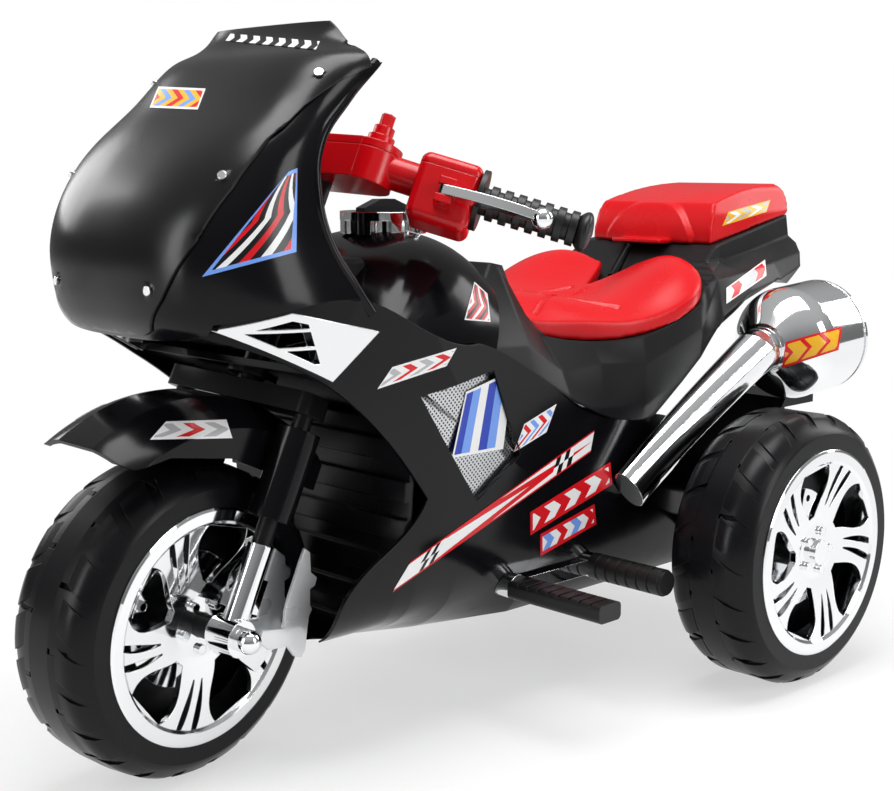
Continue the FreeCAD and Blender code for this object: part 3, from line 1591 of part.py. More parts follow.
def right_skin_y(x, z):
    ray = Part.makeLine(vec(x, -overrun, z), vec(x, 0, z))
    return min(vertex.Y for vertex in body_volume(0.0).common(ray).Vertexes)


def make_switch_housing():
    skin = right_skin_y(switch_x, switch_z)
    half = switch_length / 2
    tall = switch_height / 2
    deep = skin + switch_depth
    housing = box((switch_x - half, skin, switch_z - tall), (switch_x + half, deep, switch_z + tall))
    pocket = box((switch_x - half + wall, -overrun, switch_z - tall + wall),
                 (switch_x + half - wall, deep - wall, switch_z + tall - wall))
    reach = tall - wall / 2
    pin_hole = tube_z(
        rocker_pin_radius + running_clearance, switch_z - reach, switch_z + reach, switch_x,
        skin + rocker_pin_in,
    )
    return cut_all(housing, [pocket, pin_hole])


def make_rocker():
    skin = right_skin_y(switch_x, switch_z)
    half = switch_length / 2 - wall - rocker_gap
    tall = switch_height / 2 - wall - swing_clearance
    axis_y = skin + rocker_pin_in
    back = half * rocker_back_share
    outline = [
        (switch_x - half, skin - rocker_throw), (switch_x, skin - rocker_throw * rocker_dip_share),
        (switch_x + half, skin - rocker_throw), (switch_x + back, axis_y + 2 * rocker_pin_radius),
        (switch_x - back, axis_y + 2 * rocker_pin_radius)]
    face = flat_face(polygon_stretches(outline), lambda x, y: vec(x, y, switch_z - tall))
    reach = switch_height / 2 - wall / 2
    pin = tube_z(rocker_pin_radius, switch_z - reach, switch_z + reach, switch_x, axis_y)
    return fuse_all([face.extrude(vec(0, 0, 2 * tall)), pin])


def make_socket():
    skin = right_skin_y(socket_x, socket_z)
    body = tube_y(socket_radius, skin, skin + socket_length, socket_x, socket_z)
    return body.cut(tube_y(socket_bore_radius, skin - seam, skin + socket_bore_length, socket_x, socket_z))


def at_rear(shape, sign):
    copy = shape.copy()
    copy.translate(vec(-wheelbase, sign * rear_wheel_y, wheel_radius))
    return copy


def both(shape):
    return Part.makeCompound([shape, mirrored(shape)])


def make_wheel_nodes(nodes):
    wheel = make_tyre()
    disc = make_brake_disc()
    open_cap = Part.makeCompound([make_hub_cap(spacer_radius + swing_clearance), disc])
    closed_cap = Part.makeCompound([make_hub_cap(0.0), disc])
    nodes["front_wheel"] = steered(wheel)
    nodes["front_hub_cap_left"] = steered(open_cap)
    nodes["front_hub_cap_right"] = steered(mirrored(open_cap))
    nodes["rear_left_wheel"] = at_rear(wheel, 1)
    nodes["rear_left_hub_cap"] = at_rear(closed_cap, 1)
    nodes["rear_right_wheel"] = at_rear(wheel, -1)
    nodes["rear_right_hub_cap"] = at_rear(mirrored(closed_cap), -1)
    nodes["drive_sleeve"] = make_drive_sleeve()


def make_steering_nodes(nodes):
    pairs = {"fork_leg": make_fork_leg(), "grip": make_grip(), "brake_lever": make_lever()}
    for name, shape in pairs.items():
        nodes[name + "_left"] = steered(shape)
        nodes[name + "_right"] = steered(mirrored(shape))
    nodes["steering_fork"] = steered(make_steering_fork())
    nodes["front_axle"] = steered(make_front_axle())
    nodes["axle_spacers"] = steered(both(make_spacer()))
    nodes["axle_cap_nuts"] = steered(both(make_cap_nut()))
    nodes["brake_calipers"] = steered(both(make_caliper()))
    nodes["lever_pins"] = steered(both(make_lever_pin()))
    nodes["front_fender"] = steered(make_fender())
    upper, lower = make_bar_halves()
    nodes["handlebar_upper"] = steered(upper)
    nodes["handlebar_lower"] = steered(lower)
    nodes["handlebar_bolts"] = steered(make_bar_bolts())


def make_body_nodes(nodes):
    nodes["body_left"], nodes["body_right"] = body_halves()
    nodes["side_vents"] = both(make_vent())
    nodes["side_mesh_panels"] = both(make_mesh_panel())
    nodes["arch_liner"] = make_liner()
    nodes["steering_bushes"] = Part.makeCompound([
        raked(make_steer_bush(rib_levels[0], True)), raked(make_steer_bush(rib_levels[1], False))])
    nodes["nose_fairing"] = make_nose()
    nodes["windscreen"] = make_screen()
    nodes["screen_screws"] = make_screen_screws()
    nodes["tank_cover"] = make_tank()
    nodes["filler_ring"] = make_filler_ring()
    nodes["filler_handle"] = make_filler_handle()
    nodes["dash_block"] = make_dash()
    nodes["tail_tub"] = make_tub()
    nodes["seat"] = make_seat()
    nodes["storage_lid"] = make_lid()
    nodes["lid_hinge_pin"] = make_hinge_pin()
    nodes["mufflers"] = both(make_muffler())
    nodes["muffler_end_caps"] = both(make_muffler_cap())
    nodes["exhaust_pipes"] = both(make_pipe())
    nodes["muffler_brackets"] = both(make_muffler_bracket())
    nodes["footrest_brackets"] = Part.makeCompound([make_step_bracket(), make_pedal_bracket()])
    nodes["front_footrest_left"] = make_flat_peg(0.0, 0.0)
    pedal_bore_radius = pedal_pin_radius + running_clearance
    nodes["accelerator_pedal"] = mirrored(make_flat_peg(swing_clearance, pedal_bore_radius))
    nodes["rear_footrests"] = both(make_round_peg())


def make_drive_nodes(nodes):
    nodes["rear_axle"] = make_rear_axle()
    nodes["rear_axle_bushes"] = make_axle_bushes()
    nodes["gearbox"] = make_gearbox()
    nodes["motor"] = make_motor()
    nodes["battery"] = make_battery()
    nodes["battery_hatch"] = make_hatch()
    nodes["control_box"] = make_control_box()
    nodes["switch_housing"] = make_switch_housing()
    nodes["drive_switch_rocker"] = make_rocker()
    nodes["charging_socket"] = make_socket()


# All nodes, moved so that the origin is at the middle of the bottom of the whole bike
def all_nodes():
    nodes = {}
    make_wheel_nodes(nodes)
    make_steering_nodes(nodes)
    make_body_nodes(nodes)
    make_drive_nodes(nodes)
    extent = Part.makeCompound(list(nodes.values())).optimalBoundingBox()
    shift = vec(-(extent.XMin + extent.XMax) / 2, -(extent.YMin + extent.YMax) / 2, -extent.ZMin)
    for shape in nodes.values():
        shape.translate(shift)
    return nodes, shift


if __name__ == "__main__":
    os.makedirs("parts", exist_ok=True)
    made, moved_by = all_nodes()
    for node, solid in made.items():
        solid.exportStep("parts/%s.step" % node)
    print("front axle at", moved_by.x, moved_by.y, moved_by.z + wheel_radius)
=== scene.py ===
# %% [markdown]
# # A kids electric motorbike, dressed for its studio picture
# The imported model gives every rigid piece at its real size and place.
# This lesson keeps those pieces, gives each one a finish that you could find on the toy,
# and models the small things that a mould or a sticker sheet adds on top.

# %% Load the frame
import bpy
import math
from mathutils import Matrix, Vector


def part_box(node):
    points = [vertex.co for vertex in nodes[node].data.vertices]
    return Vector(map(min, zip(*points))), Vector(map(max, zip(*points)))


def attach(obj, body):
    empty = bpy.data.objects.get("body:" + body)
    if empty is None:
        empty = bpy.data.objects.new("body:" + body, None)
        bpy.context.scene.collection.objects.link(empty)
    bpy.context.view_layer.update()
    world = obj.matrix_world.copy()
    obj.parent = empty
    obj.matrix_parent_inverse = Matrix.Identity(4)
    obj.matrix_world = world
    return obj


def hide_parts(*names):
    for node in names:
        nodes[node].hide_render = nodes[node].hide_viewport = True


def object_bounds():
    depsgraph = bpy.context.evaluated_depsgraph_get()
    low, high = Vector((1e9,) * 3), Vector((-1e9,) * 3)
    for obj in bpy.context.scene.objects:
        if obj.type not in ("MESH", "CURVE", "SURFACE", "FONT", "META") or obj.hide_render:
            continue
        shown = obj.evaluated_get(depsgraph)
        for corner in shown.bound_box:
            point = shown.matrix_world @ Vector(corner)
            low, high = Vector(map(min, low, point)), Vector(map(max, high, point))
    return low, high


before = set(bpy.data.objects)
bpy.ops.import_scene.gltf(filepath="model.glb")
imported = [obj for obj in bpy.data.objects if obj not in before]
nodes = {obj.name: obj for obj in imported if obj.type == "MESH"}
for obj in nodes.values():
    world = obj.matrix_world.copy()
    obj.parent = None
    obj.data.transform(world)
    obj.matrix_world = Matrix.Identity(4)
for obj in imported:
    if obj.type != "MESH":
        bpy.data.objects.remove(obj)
cad_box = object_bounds()

# %% [markdown]
# Loading leaves every node selected, and an operator works on all that is selected.
# So each step starts from an empty selection. A few other chores come back for many pieces:
# a copy of a mesh, a copy of a solid whose loose triangles are merged, faces turned outwards,
# and smooth shading across every edge that bends less than an angle.

# %% Small chores
merge_reach = 0.00002
usual_angle = 40.0


def deselect():
    if bpy.context.object and bpy.context.object.mode != "OBJECT":
        bpy.ops.object.mode_set(mode="OBJECT")
    bpy.ops.object.select_all(action="DESELECT")


def select_only(piece):
    deselect()
    piece.select_set(True)
    bpy.context.view_layer.objects.active = piece


def copy_object(name, mesh):
    piece = bpy.data.objects.new(name, mesh.copy())
    bpy.context.collection.objects.link(piece)
    return piece


def merged_copy(node, name):
    piece = copy_object(name, nodes[node].data)
    select_only(piece)
    bpy.ops.object.mode_set(mode="EDIT")
    bpy.ops.mesh.select_all(action="SELECT")
    bpy.ops.mesh.remove_doubles(threshold=merge_reach)
    bpy.ops.object.mode_set(mode="OBJECT")
    return piece


def face_outwards():
    bpy.ops.object.mode_set(mode="EDIT")
    bpy.ops.mesh.select_all(action="SELECT")
    bpy.ops.mesh.normals_make_consistent(inside=False)
    bpy.ops.object.mode_set(mode="OBJECT")


def smooth_below(degrees):
    bpy.ops.object.shade_smooth_by_angle(angle=math.radians(degrees))


deselect()
print("selected now:", len(bpy.context.selected_objects))

# %% [markdown]
# ## The camera
# The picture was taken from the rider's front left, a little above the tank.
# The camera's place was solved from the wheels and axles,
# so what is drawn lines up with the photograph.

# %% Camera
image_width = 894
image_height = 791
focal_pixels = 1500.8
camera_place = Vector((1.10237, 1.1358, 0.56038))
camera_yaw = 0.8027
camera_pitch = 0.1569
sensor_width = 36.0
view_reach = 50.0

forward = Vector((
    -math.cos(camera_yaw) * math.cos(camera_pitch),
    -math.sin(camera_yaw) * math.cos(camera_pitch),
    -math.sin(camera_pitch),
))
camera_turn = forward.to_track_quat("-Z", "Y").to_euler()
bpy.ops.object.camera_add(location=camera_place, rotation=camera_turn)
camera = bpy.context.object
camera.name = "studio_camera"
camera.data.sensor_width = sensor_width
camera.data.lens = focal_pixels * sensor_width / image_width
camera.data.clip_end = view_reach
bpy.context.scene.camera = camera
print("camera lens:", round(camera.data.lens, 1), "mm")

# %% [markdown]
# ## Floor and light
# The toy stands on a pale floor. Close to the wheels the floor keeps its soft shadow,
# and further out it turns into plain white for the camera, so no horizon cuts the picture.
# A small node kit keeps the shader code short:
# each call adds one node, and takes constants or sockets.

# %% Small node kit
mix_first = 6
mix_second = 7
mix_result = 2


def link(tree, source, target):
    tree.links.new(source, target)


def feed(tree, given, socket):
    if isinstance(given, float):
        socket.default_value = given
    elif isinstance(given, tuple):
        socket.default_value = (*given, 1.0)
    else:
        link(tree, given, socket)


def number(tree, operation, first, second=0.0):
    node = tree.nodes.new("ShaderNodeMath")
    node.operation = operation
    for socket, given in zip(node.inputs, (first, second)):
        feed(tree, given, socket)
    return node.outputs["Value"]


def mixed_colour(tree, factor, first, second):
    node = tree.nodes.new("ShaderNodeMix")
    node.data_type = "RGBA"
    link(tree, factor, node.inputs["Factor"])
    feed(tree, first, node.inputs[mix_first])
    feed(tree, second, node.inputs[mix_second])
    return node.outputs[mix_result]


def between(tree, value, low, high, to_low, to_high):
    node = tree.nodes.new("ShaderNodeMapRange")
    node.interpolation_type = "SMOOTHSTEP"
    link(tree, value, node.inputs["Value"])
    node.inputs["From Min"].default_value = low
    node.inputs["From Max"].default_value = high
    node.inputs["To Min"].default_value = to_low
    node.inputs["To Max"].default_value = to_high
    return node.outputs["Result"]


print("node kit ready")

# %% [markdown]
# The paper mixes a matte shader with plain white by the distance from the toy's middle.
# Only what the camera sees, directly or mirrored, gets the white,
# so the white casts no soft light on the toy.

# %% Floor
floor_size = 14.0
paper_grey = 0.88
shade_near = 0.55
white_from = 0.55
white_by = 1.35
bpy.ops.mesh.primitive_plane_add(size=floor_size, location=(0.0, 0.0, cad_box[0][2]))
floor = bpy.context.object
floor.name = "studio_floor"
paper = bpy.data.materials.new("studio_paper")
paper.use_nodes = True
tree = paper.node_tree
tree.nodes.clear()
output = tree.nodes.new("ShaderNodeOutputMaterial")
matte = tree.nodes.new("ShaderNodeBsdfDiffuse")
matte.inputs["Color"].default_value = (paper_grey, paper_grey, paper_grey, 1.0)
white = tree.nodes.new("ShaderNodeEmission")
mixed = tree.nodes.new("ShaderNodeMixShader")
share_socket, near_socket, far_socket = mixed.inputs
place = tree.nodes.new("ShaderNodeTexCoord")
span = tree.nodes.new("ShaderNodeVectorMath")
span.operation = "LENGTH"
link(tree, place.outputs["Object"], span.inputs[0])
fade = between(tree, span.outputs["Value"], white_from, white_by, shade_near, 1.0)
seen = tree.nodes.new("ShaderNodeLightPath")
shown = number(tree, "MAXIMUM", seen.outputs["Is Camera Ray"], seen.outputs["Is Glossy Ray"])
link(tree, number(tree, "MULTIPLY", fade, shown), share_socket)
link(tree, matte.outputs["BSDF"], near_socket)
link(tree, white.outputs["Emission"], far_socket)
link(tree, mixed.outputs["Shader"], output.inputs["Surface"])
floor.data.materials.append(paper)
print("floor at", round(cad_box[0][2], 4))

# %% [markdown]
# Gloss black shows almost nothing but what it mirrors.
# A few large, soft lamps give it streaks, and the air stays dim enough to keep the black deep.

# %% Lamps and air
def soft_lamp(name, place, size, power):
    bpy.ops.object.light_add(type="AREA", location=place)
    lamp = bpy.context.object
    lamp.name = name
    lamp.data.shape = "RECTANGLE"
    lamp.data.size = size[0]
    lamp.data.size_y = size[1]
    lamp.data.energy = power
    toward = Vector(bike_middle) - Vector(place)
    lamp.rotation_euler = toward.to_track_quat("-Z", "Y").to_euler()


bike_middle = (0.0, 0.0, 0.32)
soft_lamp("lamp_overhead", (0.1, 0.2, 2.2), (1.6, 1.1), 40.0)
soft_lamp("lamp_left", (-0.5, 2.4, 1.1), (0.7, 1.5), 20.0)
soft_lamp("lamp_front", (2.4, -0.3, 1.0), (0.6, 1.4), 16.0)
soft_lamp("lamp_rear", (-2.2, 0.9, 1.4), (0.8, 1.2), 16.0)
soft_lamp("lamp_far", (0.5, -2.2, 1.3), (1.2, 0.9), 14.0)

air_low = 0.16
air_high = 0.46
air_top = 0.9
world = bpy.data.worlds.new("studio_air")
bpy.context.scene.world = world
world.use_nodes = True
air = world.node_tree
background = air.nodes["Background"]
background.inputs["Color"].default_value = (1.0, 1.0, 1.0, 1.0)
path = air.nodes.new("ShaderNodeLightPath")
where = air.nodes.new("ShaderNodeTexCoord")
parts = air.nodes.new("ShaderNodeSeparateXYZ")
link(air, where.outputs["Generated"], parts.inputs["Vector"])
lit = between(air, parts.outputs["Z"], 0.0, air_top, air_low, air_high)
clear = number(air, "MAXIMUM", path.outputs["Is Camera Ray"], path.outputs["Is Transmission Ray"])
link(air, number(air, "MAXIMUM", clear, lit), background.inputs["Strength"])
bpy.context.scene.view_settings.view_transform = "Standard"

# %% [markdown]
# ## Finishes
# Plastic, rubber and metal all start from the same small kit:
# a shader, a noise that varies the gloss,
# a second noise that raises the surface a hair, as moulded plastic and plating have,
# and a tiny rounding of the edges, because no mould gives a razor edge.

# %% Finish kit
smear_scale = 9.0
smear_detail = 4.0
smear_low = 0.3
smear_high = 0.7
least_roughness = 0.02
pore_detail = 3.0
pore_depth = 0.001
edge_samples = 4


def finish(name, colour, roughness, metallic=0.0, gloss_swing=0.06, grain=0.02, grain_scale=240.0,
           edge=0.0012, specular=0.5):
    material = bpy.data.materials.new(name)
    material.use_nodes = True
    tree = material.node_tree
    shader = tree.nodes["Principled BSDF"]
    shader.inputs["Base Color"].default_value = (*colour, 1.0)
    shader.inputs["Metallic"].default_value = metallic
    shader.inputs["Specular IOR Level"].default_value = specular
    place = tree.nodes.new("ShaderNodeTexCoord")
    smears = tree.nodes.new("ShaderNodeTexNoise")
    smears.inputs["Scale"].default_value = smear_scale
    smears.inputs["Detail"].default_value = smear_detail
    link(tree, place.outputs["Object"], smears.inputs["Vector"])
    low = max(roughness - gloss_swing, least_roughness)
    high = roughness + gloss_swing
    smeared = between(tree, smears.outputs["Fac"], smear_low, smear_high, low, high)
    link(tree, smeared, shader.inputs["Roughness"])
    pores = tree.nodes.new("ShaderNodeTexNoise")
    pores.inputs["Scale"].default_value = grain_scale
    pores.inputs["Detail"].default_value = pore_detail
    link(tree, place.outputs["Object"], pores.inputs["Vector"])
    rounded = tree.nodes.new("ShaderNodeBevel")
    rounded.samples = edge_samples
    rounded.inputs["Radius"].default_value = edge
    bump = tree.nodes.new("ShaderNodeBump")
    bump.inputs["Strength"].default_value = grain
    bump.inputs["Distance"].default_value = pore_depth
    link(tree, rounded.outputs["Normal"], bump.inputs["Normal"])
    link(tree, pores.outputs["Fac"], bump.inputs["Height"])
    link(tree, bump.outputs["Normal"], shader.inputs["Normal"])
    return material


smoke_clearness = 0.35
gloss_black = finish("gloss_black", (0.003, 0.003, 0.004), 0.15, gloss_swing=0.03, grain=0.008,
                     grain_scale=60.0, specular=0.20)
satin_black = finish("satin_black", (0.006, 0.006, 0.007), 0.34, specular=0.20)
tub_black = finish("tub_black", (0.007, 0.007, 0.008), 0.36, edge=0.005, specular=0.18)
liner_black = finish("liner_black", (0.005, 0.005, 0.006), 0.26, edge=0.003, specular=0.20)
seat_red = finish("seat_red", (0.60, 0.002, 0.006), 0.28, grain=0.04, specular=0.28)
bar_red = finish("bar_red", (0.58, 0.002, 0.006), 0.20, edge=0.002, specular=0.40)
chrome = finish("chrome", (0.88, 0.89, 0.90), 0.06, metallic=1.0, gloss_swing=0.03, grain=0.003,
                grain_scale=30.0)
tyre_black = finish("tyre_black", (0.004, 0.004, 0.005), 0.30, grain=0.03, grain_scale=420.0,
                    specular=0.20)
grip_rubber = finish("grip_rubber", (0.006, 0.006, 0.006), 0.38, grain=0.05, grain_scale=500.0,
                     specular=0.4)
steel = finish("steel", (0.52, 0.53, 0.55), 0.30, metallic=1.0)
plate_silver = finish("plate_silver", (0.80, 0.81, 0.82), 0.30, metallic=0.35)
smoke = finish("smoke_screen", (0.006, 0.006, 0.007), 0.24, gloss_swing=0.03, grain=0.003,
               grain_scale=20.0, specular=0.25)
smoke_shader = smoke.node_tree.nodes["Principled BSDF"]
smoke_shader.inputs["Transmission Weight"].default_value = smoke_clearness
print("finishes:", len(bpy.data.materials))

# %% [markdown]
# Most solids already have the right shape, so they only change their finish.
# One table names the finish of every node, and a loop puts it in the node's material slots.

# %% Give each node its finish
node_finishes = {
    "body_left": gloss_black, "body_right": gloss_black, "nose_fairing": gloss_black,
    "tank_cover": gloss_black, "front_fender": gloss_black, "windscreen": smoke,
    "screen_screws": chrome, "side_vents": chrome, "side_mesh_panels": steel,
    "arch_liner": liner_black, "filler_ring": chrome, "filler_handle": satin_black,
    "dash_block": satin_black, "tail_tub": tub_black, "seat": seat_red, "storage_lid": seat_red,
    "lid_hinge_pin": steel, "exhaust_pipes": chrome, "mufflers": chrome,
    "muffler_end_caps": chrome, "muffler_brackets": satin_black, "footrest_brackets": chrome,
    "front_footrest_left": grip_rubber, "rear_footrests": grip_rubber,
    "accelerator_pedal": grip_rubber, "rear_axle": steel, "rear_axle_bushes": satin_black,
    "gearbox": satin_black, "motor": steel, "battery": satin_black, "battery_hatch": satin_black,
    "control_box": satin_black, "switch_housing": satin_black, "drive_switch_rocker": bar_red,
    "charging_socket": satin_black, "steering_bushes": satin_black, "steering_fork": satin_black,
    "fork_leg_left": chrome, "fork_leg_right": chrome, "brake_calipers": chrome,
    "front_axle": steel, "axle_spacers": satin_black, "axle_cap_nuts": chrome,
    "handlebar_upper": bar_red, "handlebar_lower": bar_red, "handlebar_bolts": bar_red,
    "grip_left": grip_rubber, "grip_right": grip_rubber, "lever_pins": steel,
    "brake_lever_left": chrome, "brake_lever_right": chrome, "front_wheel": tyre_black,
    "rear_left_wheel": tyre_black, "rear_right_wheel": tyre_black, "front_hub_cap_left": chrome,
    "front_hub_cap_right": chrome, "rear_left_hub_cap": chrome, "rear_right_hub_cap": chrome,
    "drive_sleeve": satin_black,
}
for name, material in node_finishes.items():
    for slot in nodes[name].material_slots:
        slot.material = material
print("dressed:", len(node_finishes), "of", len(nodes))

# %% [markdown]
# ## Seat and lid
# Both are soft-edged mouldings. A copy of each solid is merged and remeshed into small even faces,
# smoothed so that its edges round over, and then its grooves and raised panel are pressed in
# by moving the points near them, as a mould would.

# %% Moulded copies
def moulded_copy(node, name, voxel):
    piece = merged_copy(node, name)
    remesh = piece.modifiers.new("even_faces", "REMESH")
    remesh.mode = "VOXEL"
    remesh.voxel_size = voxel
    smooth = piece.modifiers.new("round_edges", "SMOOTH")
    smooth.iterations = mould_rounds
    for modifier in list(piece.modifiers):
        bpy.ops.object.modifier_apply(modifier=modifier.name)
    bpy.ops.object.shade_smooth()
    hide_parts(node)
    return piece


def easing(value):
    held = min(max(value, 0.0), 1.0)
    return held * held * (3.0 - 2.0 * held)


def line_distance(point, start, end):
    run = end - start
    along = min(max((point - start).dot(run) / run.length_squared, 0.0), 1.0)
    return (point - start - run * along).length


mould_rounds = 5
seat_voxel = 0.0024
top_facing = 0.35
groove_depth = 0.0045
groove_half_width = 0.0042
groove_lines = [
    ((-0.205, 0.010), (-0.045, 0.080)), ((-0.205, -0.010), (-0.045, -0.080)),
    ((-0.140, 0.112), (-0.050, 0.004)), ((-0.140, -0.112), (-0.050, -0.004)),
]
seat = moulded_copy("seat", "moulded_seat", seat_voxel)
lines = [(Vector(start), Vector(end)) for start, end in groove_lines]
for vertex in seat.data.vertices:
    if vertex.normal.z > top_facing:
        spot = Vector(vertex.co[:2])
        gap = min(line_distance(spot, start, end) for start, end in lines)
        vertex.co.z -= groove_depth * (1.0 - easing(gap / groove_half_width))
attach(seat, "chassis")
print("seat faces:", len(seat.data.polygons))

# %% [markdown]
# The lid's front carries a raised arch. The points that face forward are pushed out
# inside the arch's outline, with a short slope at its rim.

# %% The lid with its raised arch
lid_voxel = 0.0021
arch_half_width = 0.066
arch_foot = 0.468
arch_crown = 0.512
arch_rise = 0.0065
arch_slope = 0.005
arch_depth = 0.045
arch_power = 3.0
front_facing = 0.25
lid = moulded_copy("storage_lid", "moulded_lid", lid_voxel)
lid_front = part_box("storage_lid")[1][0]
for vertex in lid.data.vertices:
    if vertex.normal.x > front_facing and vertex.co.x > lid_front - arch_depth:
        side = abs(vertex.co.y) / arch_half_width
        top = arch_foot + (arch_crown - arch_foot) * max(1.0 - side ** arch_power, 0.0)
        from_side = arch_half_width - abs(vertex.co.y)
        inside = min((top - vertex.co.z) / arch_slope, from_side / arch_slope)
        vertex.co.x += arch_rise * easing(inside)
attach(lid, "lid")
print("lid faces:", len(lid.data.polygons))

# %% [markdown]
# Under the arch the lid has a flat tab that a finger lifts.
# It is a thin box with all its edges bevelled.

# %% The lid's latch tab
def rounded_box(name, low, high, round_by, material):
    middle = [(a + b) / 2 for a, b in zip(low, high)]
    size = [b - a for a, b in zip(low, high)]
    deselect()
    bpy.ops.mesh.primitive_cube_add(size=1.0, location=middle, scale=size)
    piece = bpy.context.object
    piece.name = name
    bpy.ops.object.transform_apply(location=True, rotation=True, scale=True)
    bpy.ops.object.mode_set(mode="EDIT")
    bpy.ops.mesh.select_all(action="SELECT")
    bpy.ops.mesh.bevel(offset=round_by, segments=latch_steps, affect="EDGES")
    bpy.ops.object.mode_set(mode="OBJECT")
    smooth_below(usual_angle)
    piece.data.materials.append(material)
    return piece


latch_half_width = 0.036
latch_behind = 0.010
latch_ahead = 0.013
latch_low = arch_foot - 0.007
latch_high = arch_foot - 0.002
latch_round = 0.0015
latch_steps = 3
latch = rounded_box(
    "lid_latch", (lid_front - latch_behind, -latch_half_width, latch_low),
    (lid_front + latch_ahead, latch_half_width, latch_high), latch_round, seat_red,
)
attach(latch, "lid")
print("latch:", len(latch.data.polygons), "faces")

# %% [markdown]
# ## The nose's rolled lip
# The rear edge of the nose is rolled over, which catches a long thin highlight.
# A curve runs up the edge, gets a round section and becomes a mesh, once for each side.

# %% Rolled lip
nose_origin = Vector((0.35927, 0.0, 0.43698))
nose_reach = 0.255
nose_half_width = 0.160
lip_radius = 0.0050
lip_inset_share = 0.6
lip_resolution = 4
lip_angle = 50.0
lip_shares = [
    (-0.440, 0.995, -0.040), (-0.375, 0.985, 0.050), (-0.285, 0.940, 0.205), (-0.250, 0.912, 0.365),
    (-0.275, 0.882, 0.520), (-0.415, 0.845, 0.680), (-0.565, 0.819, 0.808),
]


def rolled_lip(name, side):
    deselect()
    bpy.ops.curve.primitive_bezier_curve_add()
    lip = bpy.context.object
    lip.name = name
    lip.location = (0.0, 0.0, 0.0)
    line = lip.data.splines[0]
    line.bezier_points.add(len(lip_shares) - 2)
    for point, (along, width, height) in zip(line.bezier_points, lip_shares):
        half = nose_half_width * width - lip_radius * lip_inset_share
        point.co = nose_origin + Vector((nose_reach * along, side * half, nose_reach * height))
        point.handle_left_type = "AUTO"
        point.handle_right_type = "AUTO"
    lip.data.bevel_depth = lip_radius
    lip.data.bevel_resolution = lip_resolution
    lip.data.use_fill_caps = True
    bpy.ops.object.convert(target="MESH")
    lip = bpy.context.object
    smooth_below(lip_angle)
    lip.data.materials.clear()
    lip.data.materials.append(gloss_black)
    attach(lip, "chassis")
    return lip


lips = [rolled_lip("nose_lip_left", 1.0), rolled_lip("nose_lip_right", -1.0)]
print("lips:", [len(lip.data.polygons) for lip in lips])

# %% [markdown]
# ## The smoked screen
# The screen's upper edge is cut off straight, a little below the top of the solid.
# A merged copy is cut by a level plane, and the cut is closed again.

# %% Straight-topped screen
screen_top = 0.6805
screen_angle = 35.0
shield = merged_copy("windscreen", "smoked_shield")
bpy.ops.object.mode_set(mode="EDIT")
bpy.ops.mesh.select_all(action="SELECT")
bpy.ops.mesh.bisect(
    plane_co=(0.0, 0.0, screen_top), plane_no=(0.0, 0.0, 1.0), use_fill=True, clear_outer=True,
)
bpy.ops.object.mode_set(mode="OBJECT")
smooth_below(screen_angle)
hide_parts("windscreen")
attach(shield, "chassis")
print("shield faces:", len(shield.data.polygons))

# %% [markdown]
# ## Fine mesh panels
# The side panels are thin sheets with rows of small round holes, far too many to cut one by one.
# The outline of each solid panel is wrapped in a plain sheet, and the holes come from a dot pattern
# that repeats every few millimetres.

# %% Perforated panels
hole_black = (0.006, 0.006, 0.007)
panel_roughness = 0.26


def perforated(name, pitch, hole_share, metal):
    material = finish(name, metal, panel_roughness, metallic=1.0)
    tree = material.node_tree
    shader = tree.nodes["Principled BSDF"]
    place = next(node for node in tree.nodes if node.type == "TEX_COORD")
    parts = tree.nodes.new("ShaderNodeSeparateXYZ")
    link(tree, place.outputs["Object"], parts.inputs["Vector"])
    row = number(tree, "DIVIDE", parts.outputs["Z"], pitch * 0.5)
    shift = number(tree, "MULTIPLY", number(tree, "MODULO", number(tree, "FLOOR", row), 2.0), 0.5)
    column = number(tree, "ADD", number(tree, "DIVIDE", parts.outputs["X"], pitch), shift)
    across = number(tree, "SUBTRACT", number(tree, "FRACT", column), 0.5)
    up = number(tree, "MULTIPLY", number(tree, "SUBTRACT", number(tree, "FRACT", row), 0.5), 0.5)
    reach = number(tree, "SQRT", number(tree, "ADD", number(tree, "MULTIPLY", across, across),
                                        number(tree, "MULTIPLY", up, up)))
    hole = number(tree, "LESS_THAN", reach, hole_share)
    link(tree, mixed_colour(tree, hole, metal, hole_black), shader.inputs["Base Color"])
    link(tree, number(tree, "SUBTRACT", 1.0, hole), shader.inputs["Metallic"])
    return material


mesh_silver = perforated("mesh_silver", pitch=0.0052, hole_share=0.21, metal=(0.62, 0.63, 0.65))
panel_sides = []
for side in (1.0, -1.0):
    panel = merged_copy("side_mesh_panels", "mesh_side")
    bpy.ops.object.mode_set(mode="EDIT")
    bpy.ops.mesh.select_all(action="DESELECT")
    bpy.ops.object.mode_set(mode="OBJECT")
    for vertex in panel.data.vertices:
        vertex.select = vertex.co.y * side < 0.0
    bpy.ops.object.mode_set(mode="EDIT")
    bpy.ops.mesh.delete(type="VERT")
    bpy.ops.mesh.select_all(action="SELECT")
    bpy.ops.mesh.convex_hull()
    bpy.ops.object.mode_set(mode="OBJECT")
    panel_sides.append(panel)
deselect()
for panel in panel_sides:
    panel.select_set(True)
bpy.context.view_layer.objects.active = panel_sides[0]
bpy.ops.object.join()
panels = bpy.context.object
panels.name = "perforated_panels"
panels.data.materials.clear()
panels.data.materials.append(mesh_silver)
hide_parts("side_mesh_panels")
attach(panels, "chassis")
print("panels:", len(panels.data.polygons), "faces")

# %% [markdown]
# ## Tyre treads
# Each tyre has a smooth middle band and a ring of big slanted blocks on both shoulders.
# One block is a small grid bent over the shoulder's curve and given thickness.
# It is copied round the wheel, and all the copies are joined.

